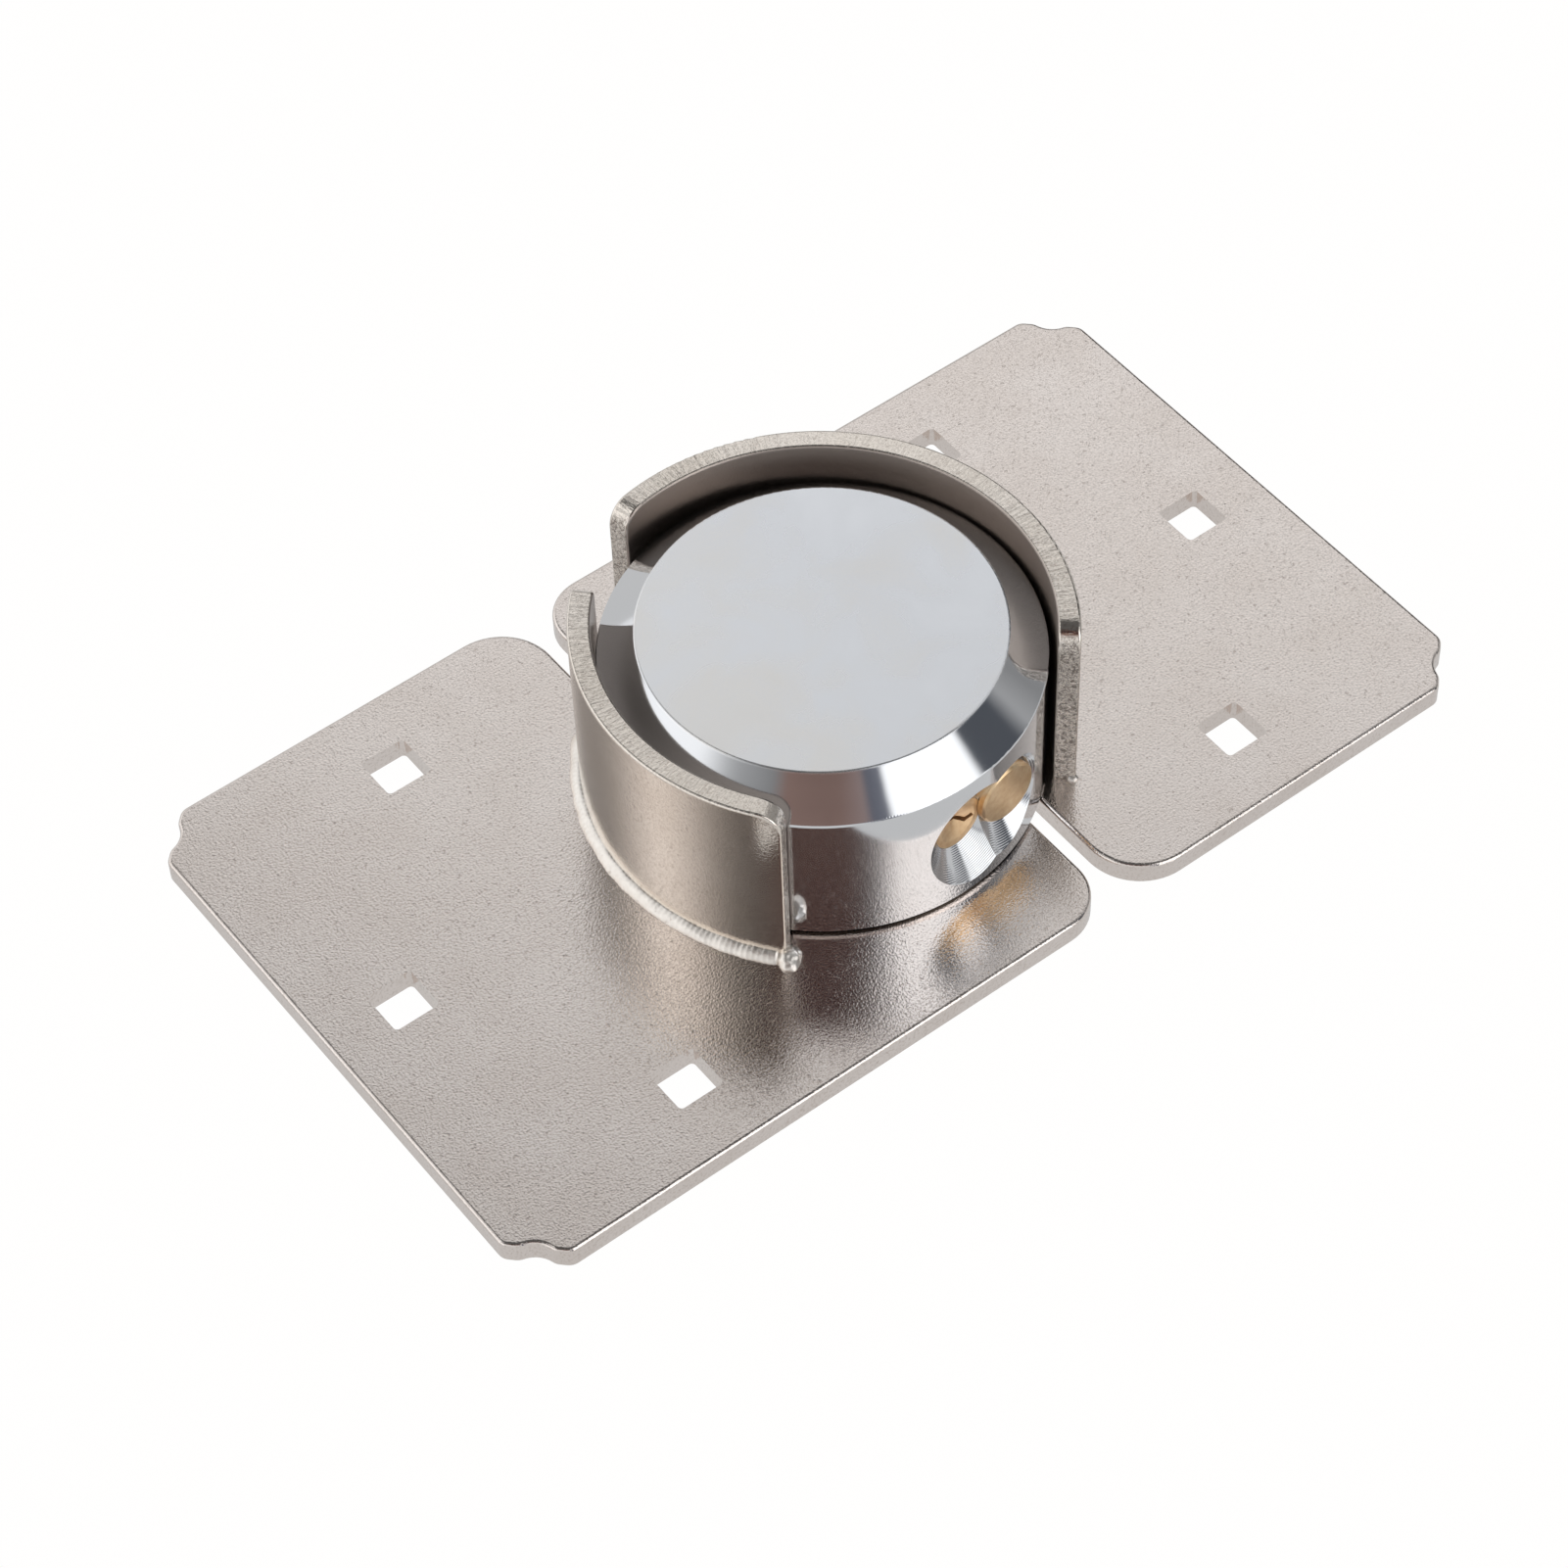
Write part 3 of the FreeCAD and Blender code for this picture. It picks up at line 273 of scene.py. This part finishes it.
def pebbled_skin():
    """Shared effect: the pebbled skin of rolled stock, its pits, and slow clouds in its plating."""
    group, given, out = new_group(
        "pebbled_skin", [("Size", "Float")],
        [("Height", "Float"), ("Pits", "Float"), ("Clouds", "Float")])
    place = put(group, "ShaderNodeTexCoord").outputs["Object"]
    fine = sum_of(group, "DIVIDE", 1.0, given.outputs["Size"])
    grains = mottle(group, place, fine, distortion=0.4)
    sparse = mottle(group, place, sum_of(group, "MULTIPLY", fine, PITS_PER_GRAIN), roughness=0.7)
    pits = spread(group, sparse, 0.36, 0.29)
    clouds = mottle(group, place, sum_of(group, "MULTIPLY", fine, CLOUDS_PER_GRAIN))
    height = sum_of(group, "SUBTRACT", grains, sum_of(group, "MULTIPLY", pits, PIT_DEPTH))
    hand_out(group, out, Height=height, Pits=pits, Clouds=clouds)
    return group


def torn_side():
    """Shared effect: upright tears on a sheared side, with nothing on faces that look up."""
    group, given, out = new_group("torn_side", [("Size", "Float")], [("Height", "Float")])
    place = put(group, "ShaderNodeTexCoord")
    drawn = put(group, "ShaderNodeVectorMath", {0: place.outputs["Object"], 1: TEAR_STRETCH},
                operation="MULTIPLY")
    streaks = mottle(group, drawn.outputs[0], sum_of(group, "DIVIDE", 1.0, given.outputs["Size"]),
                     3.0, 0.6)
    facing = put(group, "ShaderNodeNewGeometry")
    axes = put(group, "ShaderNodeSeparateXYZ", {"Vector": facing.outputs["Normal"]})
    side = spread(group, sum_of(group, "ABSOLUTE", axes.outputs["Z"]), 0.8, 0.3)
    hand_out(group, out, Height=sum_of(group, "MULTIPLY", streaks, side))
    return group


PEBBLED_SKIN = pebbled_skin()
TORN_SIDE = torn_side()


def new_metal(name, roughness):
    """Start a bare metal material and return it with its tree and its shader."""
    metal = bpy.data.materials.new(name)
    metal.use_nodes = True
    shader = metal.node_tree.nodes["Principled BSDF"]
    shader.inputs["Metallic"].default_value = 1.0
    shader.inputs["Roughness"].default_value = roughness
    return metal, metal.node_tree, shader


def use_group(tree, group, **inputs):
    """Place a shared node group in a material with its own values."""
    node = put(tree, "ShaderNodeGroup", node_tree=group)
    for name, given in inputs.items():
        node.inputs[name].default_value = given
    return node


def bump(tree, height, depth, under=None):
    """One layer of relief, over the relief of another layer where it is given."""
    inputs = {"Height": height, "Strength": 1.0, "Distance": depth}
    if under is not None:
        inputs["Normal"] = under
    return put(tree, "ShaderNodeBump", inputs).outputs[0]


def nickel(name, grain, grain_depth, roughness, tear_depth=TEAR_DEPTH, grain_tone=GRAIN_TONE,
           bright=NICKEL, shade=NICKEL_SHADE):
    """Nickel plate over rolled stock: pebbles with darker pits, slow clouds and torn sides."""
    metal, tree, shader = new_metal(name, roughness)
    skin = use_group(tree, PEBBLED_SKIN, Size=grain)
    torn = use_group(tree, TORN_SIDE, Size=TEAR)
    plate = blend(tree, spread(tree, skin.outputs["Clouds"], 0.35, 0.65), shade, bright)
    low = spread(tree, skin.outputs["Height"], 0.5, 0.3, 0.0, grain_tone)
    dim = sum_of(tree, "MAXIMUM", low,
                 sum_of(tree, "MULTIPLY", skin.outputs["Pits"], PIT_TONE))
    tree.links.new(blend(tree, dim, plate, NICKEL_PIT), shader.inputs["Base Color"])
    gloss = spread(tree, skin.outputs["Height"], 0.3, 0.7, roughness * 1.2, roughness * 0.8)
    tree.links.new(gloss, shader.inputs["Roughness"])
    relief = bump(tree, torn.outputs["Height"], tear_depth,
                  bump(tree, skin.outputs["Height"], grain_depth))
    tree.links.new(relief, shader.inputs["Normal"])
    return metal, tree, shader, relief


def dress(node, metal):
    """Give a node of the model its finish."""
    mesh = nodes[node].data
    mesh.materials.clear()
    mesh.materials.append(metal)


nickel_plate = nickel("nickel_plate", PLATE_GRAIN, PLATE_GRAIN_DEPTH, 0.10)[0]
for leaf in ("left_leaf", "right_leaf"):
    dress(leaf, nickel_plate)

# The guards: strips of the same stock rolled to an arc, set on edge round the padlock.
# The rolling smooths their faces, and the shears leave marks across their top edges and ends.
GUARD_CENTRES = {"left_guard": Vector((1.6, -3.5, 0)) * MM,
                 "right_guard": Vector((-1.6, -3.5, 0)) * MM}
STRIP_NICKEL = (0.88, 0.82, 0.755)
STRIP_SHADE = (0.84, 0.775, 0.70)
STRIP_GRAIN = 0.42 * MM
STRIP_GRAIN_DEPTH = 0.026 * MM
STRIP_GRAIN_TONE = 0.36
# Marks come at this many radians round the strip, and this many to the metre across it
SHEAR_MARK = 0.0085
MARKS_ACROSS = 700.0
SHEAR_DEPTH = 0.10 * MM
MARK_TONE = 0.14
RIPS_PER_METRE = 1400.0
TORN_DEPTH = 0.6 * MM
SCAR = (0.16, 0.12, 0.10)
SCAR_TONE = 0.75
# Inside the rolled arc the surface is duller, and its colour is darkened there as painted shade
BORE_PAINTED_SHADE = (0.46, 0.40, 0.36)
BORE_ROUGHNESS = 0.36


def between(tree, amount, first, second):
    """A number between two, each a link or a number."""
    return put(tree, "ShaderNodeMix", {"Factor": amount, 2: first, 3: second}).outputs[0]


def shear_marks():
    """Shared effect: marks across the top of a strip rolled about a centre, and its torn ends."""
    group, given, out = new_group("shear_marks", [("Centre", "Vector"), ("Pitch", "Float")],
                                  [("Height", "Float"), ("Torn", "Float"), ("Scar", "Float"),
                                   ("Bore", "Float")])
    place = put(group, "ShaderNodeTexCoord")
    about = put(group, "ShaderNodeVectorMath", {0: place.outputs["Object"],
                                                1: given.outputs["Centre"]}, operation="SUBTRACT")
    axes = put(group, "ShaderNodeSeparateXYZ", {"Vector": about.outputs[0]})
    angle = sum_of(group, "ARCTAN2", axes.outputs["Y"], axes.outputs["X"])
    reach = put(group, "ShaderNodeVectorMath", {0: about.outputs[0]}, operation="LENGTH")
    laid = put(group, "ShaderNodeCombineXYZ", {
        0: sum_of(group, "DIVIDE", angle, given.outputs["Pitch"]),
        1: sum_of(group, "MULTIPLY", reach.outputs["Value"], MARKS_ACROSS)})
    marks = mottle(group, laid.outputs[0], 0.6, 3.0, 0.65, 0.6)
    rips = mottle(group, place.outputs["Object"], RIPS_PER_METRE, 4.0, 0.7, 1.0)
    facing = put(group, "ShaderNodeNewGeometry")
    up = put(group, "ShaderNodeSeparateXYZ", {"Vector": facing.outputs["Normal"]})
    top = spread(group, up.outputs["Z"], 0.5, 0.95)
    flat = put(group, "ShaderNodeVectorMath", {0: about.outputs[0], 1: (1, 1, 0)},
               operation="MULTIPLY")
    spoke = put(group, "ShaderNodeVectorMath", {0: flat.outputs[0]}, operation="NORMALIZE")
    outward = put(group, "ShaderNodeVectorMath", {0: spoke.outputs[0],
                                                  1: facing.outputs["Normal"]},
                  operation="DOT_PRODUCT").outputs["Value"]
    turned = sum_of(group, "ADD", sum_of(group, "ABSOLUTE", outward),
                    sum_of(group, "ABSOLUTE", up.outputs["Z"]))
    end = spread(group, turned, 0.75, 0.35)
    shown = sum_of(group, "MULTIPLY", MARK_TONE, top)
    cuts = sum_of(group, "MULTIPLY", spread(group, marks, 0.5, 0.36), shown)
    holes = sum_of(group, "MULTIPLY", spread(group, rips, 0.52, 0.40), end)
    hand_out(group, out, Height=sum_of(group, "MULTIPLY", marks, top),
             Torn=sum_of(group, "MULTIPLY", rips, end),
             Scar=sum_of(group, "MAXIMUM", cuts, holes), Bore=spread(group, outward, -0.3, -0.7))
    return group


SHEAR_MARKS = shear_marks()
for guard, centre in GUARD_CENTRES.items():
    metal, tree, shader, relief = nickel(f"nickel_{guard}", STRIP_GRAIN, STRIP_GRAIN_DEPTH, 0.12,
                                         0.0, STRIP_GRAIN_TONE, STRIP_NICKEL, STRIP_SHADE)
    marks = use_group(tree, SHEAR_MARKS, Centre=centre, Pitch=SHEAR_MARK)
    relief = bump(tree, marks.outputs["Torn"], TORN_DEPTH, relief)
    tree.links.new(bump(tree, marks.outputs["Height"], SHEAR_DEPTH, relief),
                   shader.inputs["Normal"])
    plate = shader.inputs["Base Color"].links[0].from_socket
    gloss = shader.inputs["Roughness"].links[0].from_socket
    # Painted shade: the faces that look in towards the padlock are darkened towards a brown grey
    bore_shaded = blend(tree, marks.outputs["Bore"], plate, BORE_PAINTED_SHADE)
    scars = sum_of(tree, "MULTIPLY", marks.outputs["Scar"], SCAR_TONE)
    tree.links.new(blend(tree, scars, bore_shaded, SCAR), shader.inputs["Base Color"])
    tree.links.new(between(tree, marks.outputs["Bore"], gloss, BORE_ROUGHNESS),
                   shader.inputs["Roughness"])
    dress(guard, metal)

# The welds along the guards' outer feet, run by hand and plated with the rest.
# Each bead is a run of overlapping ripples that thins out at its two ends.
# Painted light: the welds' nickel is lighter than the leaves' and guards', standing in for the
# light their round beads catch
WELD_NICKEL_LIT = (0.96, 0.92, 0.87)
WELD_SHADE_LIT = (0.90, 0.85, 0.79)
WELD_GRAIN = 0.7 * MM
WELD_GRAIN_DEPTH = 0.03 * MM
weld_metal = nickel("weld_metal", WELD_GRAIN, WELD_GRAIN_DEPTH, 0.38, 0.0, 0.0, WELD_NICKEL_LIT,
                    WELD_SHADE_LIT)[0]
PLATE_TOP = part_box("left_leaf")[1].z
GUARD_WALL = 42.3 * MM
BEAD_LEG = 1.65 * MM
BEAD_FLATNESS = 1.4
# Where each bead starts and stops round its guard, in degrees
BEADS = {"left_guard": (135.0, 220.6), "right_guard": (-28.0, 103.4)}
BEAD_END = 1.6 * MM
BEAD_STEP = 0.30 * MM
BEAD_SIDES = 13
BEAD_BITE = 0.02 * MM
RIPPLE_PITCH = 0.9 * MM
RIPPLE_SHARE = 0.028
UNEVEN_PITCH = 2.6 * MM
UNEVEN_SHARE = 0.10


def new_piece(name, mesh, metal, replaced=None):
    """Hang a mesh on the hasp as a piece of its own."""
    piece = bpy.data.objects.new(name, mesh)
    scene.collection.objects.link(piece)
    mesh.materials.append(metal)
    for face in mesh.polygons:
        face.use_smooth = True
    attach(piece, "hasp")
    if replaced:
        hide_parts(replaced)
    return piece


def bead_point(centre, angle, side, run, left):
    """A point of the bead's skin: round the arc, up its section, so far from its start and end."""
    ripple = math.sin(math.tau * (run / RIPPLE_PITCH + 0.25 * math.sin(math.pi * side)))
    rough = noise.noise(Vector((run / UNEVEN_PITCH, side * 1.5, centre.x * 900)))
    ends = min(1, 0.25 + min(run, left) / BEAD_END)
    swell = (1 + RIPPLE_SHARE * ripple + UNEVEN_SHARE * rough) * math.sin(ends * math.pi / 2)
    lean = side * math.pi / 2
    out = GUARD_WALL + BEAD_LEG * swell * max(math.cos(lean), 0) ** BEAD_FLATNESS
    up = PLATE_TOP + BEAD_LEG * swell * math.sin(lean) ** BEAD_FLATNESS
    if side == 0:
        up = PLATE_TOP - BEAD_BITE
    if side == 1:
        out = GUARD_WALL - BEAD_BITE
    return centre + Vector((math.cos(angle) * out, math.sin(angle) * out, up))


def bead_mesh(name, centre, start, stop):
    """Lay one bead from a start angle to a stop angle."""
    length = math.radians(stop - start) * GUARD_WALL
    count = int(length / BEAD_STEP)
    run = bmesh.new()
    rows = []
    for step in range(count + 1):
        gone = step / count
        angle = math.radians(start + (stop - start) * gone)
        rows.append([run.verts.new(bead_point(centre, angle, part / (BEAD_SIDES - 1),
                                              gone * length, (1 - gone) * length))
                     for part in range(BEAD_SIDES)])
    for here, after in zip(rows, rows[1:]):
        for part in range(BEAD_SIDES - 1):
            run.faces.new((here[part], after[part], after[part + 1], here[part + 1]))
    run.faces.new(rows[0])
    run.faces.new(reversed(rows[-1]))
    bmesh.ops.recalc_face_normals(run, faces=run.faces)
    mesh = bpy.data.meshes.new(name)
    run.to_mesh(mesh)
    run.free()
    return mesh


for guard, (start, stop) in BEADS.items():
    name = f"{guard}_bead"
    new_piece(name, bead_mesh(name, GUARD_CENTRES[guard], start, stop), weld_metal,
              f"{guard}_weld")

# The lumps at the guards' near ends: weld metal that ran together where the hand stopped.
# Each has a place, half a width, depth and height in millimetres, and a turn in degrees.
LUMPS = (
    ("left_end_lump", (-29.7, -31.9, 4.0), (2.5, 1.9, 1.8), 42.0),
    ("right_end_lump", (29.3, -31.8, 4.0), (0.9, 0.8, 0.7), -42.0),
)
LUMP_FOOT = -0.15


def lump_mesh(name, spot, halves, turn):
    """A small melted lump, settled on the plate."""
    lump = bmesh.new()
    bmesh.ops.create_icosphere(lump, subdivisions=4, radius=1.0)
    for vert in lump.verts:
        rough = noise.noise(vert.co * 1.1 + Vector(spot)) * 0.28
        rough += noise.noise(vert.co * 2.6 + Vector(spot)) * 0.10
        vert.co *= 1 + rough
        vert.co.z = max(vert.co.z, LUMP_FOOT)
        vert.co = Vector((part * half for part, half in zip(vert.co, halves)))
    place = Matrix.Translation(Vector(spot) * MM) @ Matrix.Rotation(math.radians(turn), 4, "Z")
    bmesh.ops.transform(lump, matrix=place @ Matrix.Scale(MM, 4), verts=lump.verts)
    mesh = bpy.data.meshes.new(name)
    lump.to_mesh(mesh)
    lump.free()
    return mesh


for name, spot, halves, turn in LUMPS:
    new_piece(name, lump_mesh(name, spot, halves, turn), weld_metal)

# The staples: eyes of flat steel bar that stand in the padlock's pocket.
# Each is held by a tenon through its leaf, welded in a groove below and ground flush.
BAR_GRAIN = 0.7 * MM
BAR_GRAIN_DEPTH = 0.03 * MM
staple_nickel = nickel("staple_nickel", BAR_GRAIN, BAR_GRAIN_DEPTH, 0.24)[0]
for piece in ("left_staple", "right_staple", "left_staple_weld", "right_staple_weld"):
    dress(piece, staple_nickel)

# The padlock's body: turned from solid steel bar and chrome plated.
# Its cones keep the fine rings of the turning, and its top is lapped to a cloudy satin.
CHROME = (0.80, 0.815, 0.84)
FOOT_PAINTED_SHADOW = (0.05, 0.045, 0.04)
SATIN = (0.90, 0.925, 0.97)
SATIN_CLOUD = (0.985, 0.98, 0.97)
WALL_ROUGHNESS = 0.08
MOUTH_ROUGHNESS = 0.07
LOCK_FOOT = Vector((0, -3.0, 4.3)) * MM
LOCK_TURN = math.radians(6.5)
LOCK_RADIUS = 36.5 * MM
LOCK_TOP = 33.4 * MM
LOCK_WALL = 27.7 * MM
KEYHOLE_HEIGHT = 13.4 * MM
RECESS_OFFSETS = (-1.95 * MM, 8.05 * MM)
CONE_RING = 0.32 * MM
CONE_RING_DEPTH = 0.006 * MM
LAP_DEPTH = 0.004 * MM


def lock_place(tree):
    """The place on the surface in the padlock's own frame, as three numbers."""
    place = put(tree, "ShaderNodeTexCoord")
    moved = put(tree, "ShaderNodeMapping", {"Vector": place.outputs["Object"],
                                            "Location": LOCK_FOOT,
                                            "Rotation": (0, 0, LOCK_TURN)},
                vector_type="TEXTURE")
    axes = put(tree, "ShaderNodeSeparateXYZ", {"Vector": moved.outputs[0]})
    return axes.outputs["X"], axes.outputs["Y"], axes.outputs["Z"]


def distance(tree, across, up):
    """How far a place is from an axis, from its two offsets."""
    return sum_of(tree, "SQRT", sum_of(tree, "ADD", sum_of(tree, "MULTIPLY", across, across),
                                       sum_of(tree, "MULTIPLY", up, up)))


def from_mouth(tree, x, z, offset):
    """The distance from the axis of one of the two countersunk mouths."""
    return distance(tree, sum_of(tree, "SUBTRACT", x, offset),
                    sum_of(tree, "SUBTRACT", z, KEYHOLE_HEIGHT))


def tool_rings(tree, out, pitch, grain, waver):
    """The rings that a turning tool leaves about an axis, a little unsteady."""
    turns = sum_of(tree, "ADD", sum_of(tree, "DIVIDE", out, pitch),
                   sum_of(tree, "MULTIPLY", grain, waver))
    return sum_of(tree, "SINE", sum_of(tree, "MULTIPLY", turns, math.tau))


def turned_chrome():
    """Chrome over turned steel: rings in the cones, a bright wall with painted shadow at its foot,
    a satin top.
    """
    metal, tree, shader = new_metal("lock_chrome", WALL_ROUGHNESS)
    x, y, z = lock_place(tree)
    top = spread(tree, z, LOCK_TOP - 0.3 * MM, LOCK_TOP - 0.05 * MM)
    slope = spread(tree, z, LOCK_WALL - 0.05 * MM, LOCK_WALL + 0.3 * MM)
    near = sum_of(tree, "MINIMUM", *[from_mouth(tree, x, z, offset)
                                     for offset in RECESS_OFFSETS])
    inside = sum_of(tree, "LESS_THAN", distance(tree, x, y), LOCK_RADIUS - 0.12 * MM)
    mouth = sum_of(tree, "MULTIPLY", inside, sum_of(tree, "SUBTRACT", 1.0, slope, clamp=True))
    place = put(tree, "ShaderNodeTexCoord").outputs["Object"]
    cloud = mottle(tree, place, 75.0, 4.0, distortion=0.5)
    swirl = mottle(tree, place, 900.0, 3.0, distortion=6.0)
    satin = spread(tree, cloud, 0.3, 0.7, 0.24, 0.31)
    plain = between(tree, mouth, WALL_ROUGHNESS, MOUTH_ROUGHNESS)
    tree.links.new(between(tree, top, plain, satin), shader.inputs["Roughness"])
    # Painted light: the top's haze is made whiter towards -X, on top of its own lapping clouds
    whiter_left = spread(tree, x, 10 * MM, -26 * MM, -0.10, 0.10)
    lapping_and_light = sum_of(tree, "ADD", sum_of(tree, "ADD", cloud, whiter_left),
                     sum_of(tree, "MULTIPLY", swirl, 0.3))
    haze_and_light = blend(tree, spread(tree, lapping_and_light, 0.52, 0.86), SATIN, SATIN_CLOUD)
    # Painted shadow: the lowest half millimetre of the wall goes dark, for the shade in the gap
    # above the plate
    wall = blend(tree, spread(tree, z, 0.5 * MM, 0.3 * MM), CHROME, FOOT_PAINTED_SHADOW)
    tree.links.new(blend(tree, top, wall, haze_and_light), shader.inputs["Base Color"])
    rings = tool_rings(tree, near, CONE_RING, mottle(tree, place, 420.0), 0.35)
    relief = bump(tree, sum_of(tree, "MULTIPLY", rings, mouth), CONE_RING_DEPTH)
    relief = bump(tree, sum_of(tree, "MULTIPLY", swirl, top), LAP_DEPTH, relief)
    tree.links.new(relief, shader.inputs["Normal"])
    return metal


dress("padlock_body", turned_chrome())

# The key plug with its wafers, and the cap of the bolt: bare free cutting brass.
# The plug turns in the padlock's bore, the cap sits on the bolt's end, and both were turned.
BRASS = (0.96, 0.72, 0.46)
BRASS_SHADE = (0.84, 0.58, 0.33)
TOOL_RING = 0.42 * MM
TOOL_RING_DEPTH = 0.006 * MM


def turned_brass(name, offset, roughness):
    """Bare brass turned about an axis that runs back into the padlock."""
    metal, tree, shader = new_metal(name, roughness)
    x, y, z = lock_place(tree)
    place = put(tree, "ShaderNodeTexCoord").outputs["Object"]
    stain = mottle(tree, place, 700.0, 3.0)
    tree.links.new(blend(tree, spread(tree, stain, 0.35, 0.65), BRASS_SHADE, BRASS),
                   shader.inputs["Base Color"])
    rings = tool_rings(tree, from_mouth(tree, x, z, offset), TOOL_RING, stain, 0.3)
    tree.links.new(bump(tree, rings, TOOL_RING_DEPTH), shader.inputs["Normal"])
    return metal


plug_brass = turned_brass("plug_brass", RECESS_OFFSETS[0], 0.42)
cap_brass = turned_brass("cap_brass", RECESS_OFFSETS[1], 0.34)
dress("key_plug", plug_brass)
dress("wafers", plug_brass)
dress("bolt_cap", cap_brass)

# The works inside: bolt, cam, stop pin, cover and screws of hardened steel, ground to size.
# The springs and the cam's clip are bright spring steel, and all go in through the pocket below.
STEEL = (0.56, 0.56, 0.57)
STEEL_SHADE = (0.44, 0.43, 0.43)
GRIND_STRETCH = (1, 0.06, 1)
GRIND_DEPTH = 0.004 * MM


def ground_steel(name, roughness, grind):
    """Ground steel with fine grinding lines across it."""
    metal, tree, shader = new_metal(name, roughness)
    place = put(tree, "ShaderNodeTexCoord")
    drawn = put(tree, "ShaderNodeVectorMath", {0: place.outputs["Object"], 1: GRIND_STRETCH},
                operation="MULTIPLY")
    lines = mottle(tree, drawn.outputs[0], 1 / grind)
    tree.links.new(blend(tree, lines, STEEL_SHADE, STEEL), shader.inputs["Base Color"])
    tree.links.new(bump(tree, lines, GRIND_DEPTH), shader.inputs["Normal"])
    return metal


hard_steel = ground_steel("hard_steel", 0.3, 0.3 * MM)
for piece in ("cam", "bolt", "bolt_stop_pin", "mechanism_cover", "cover_screws"):
    dress(piece, hard_steel)
spring_steel = ground_steel("spring_steel", 0.22, 0.2 * MM)
for piece in ("wafer_springs", "cam_clip", "bolt_spring"):
    dress(piece, spring_steel)
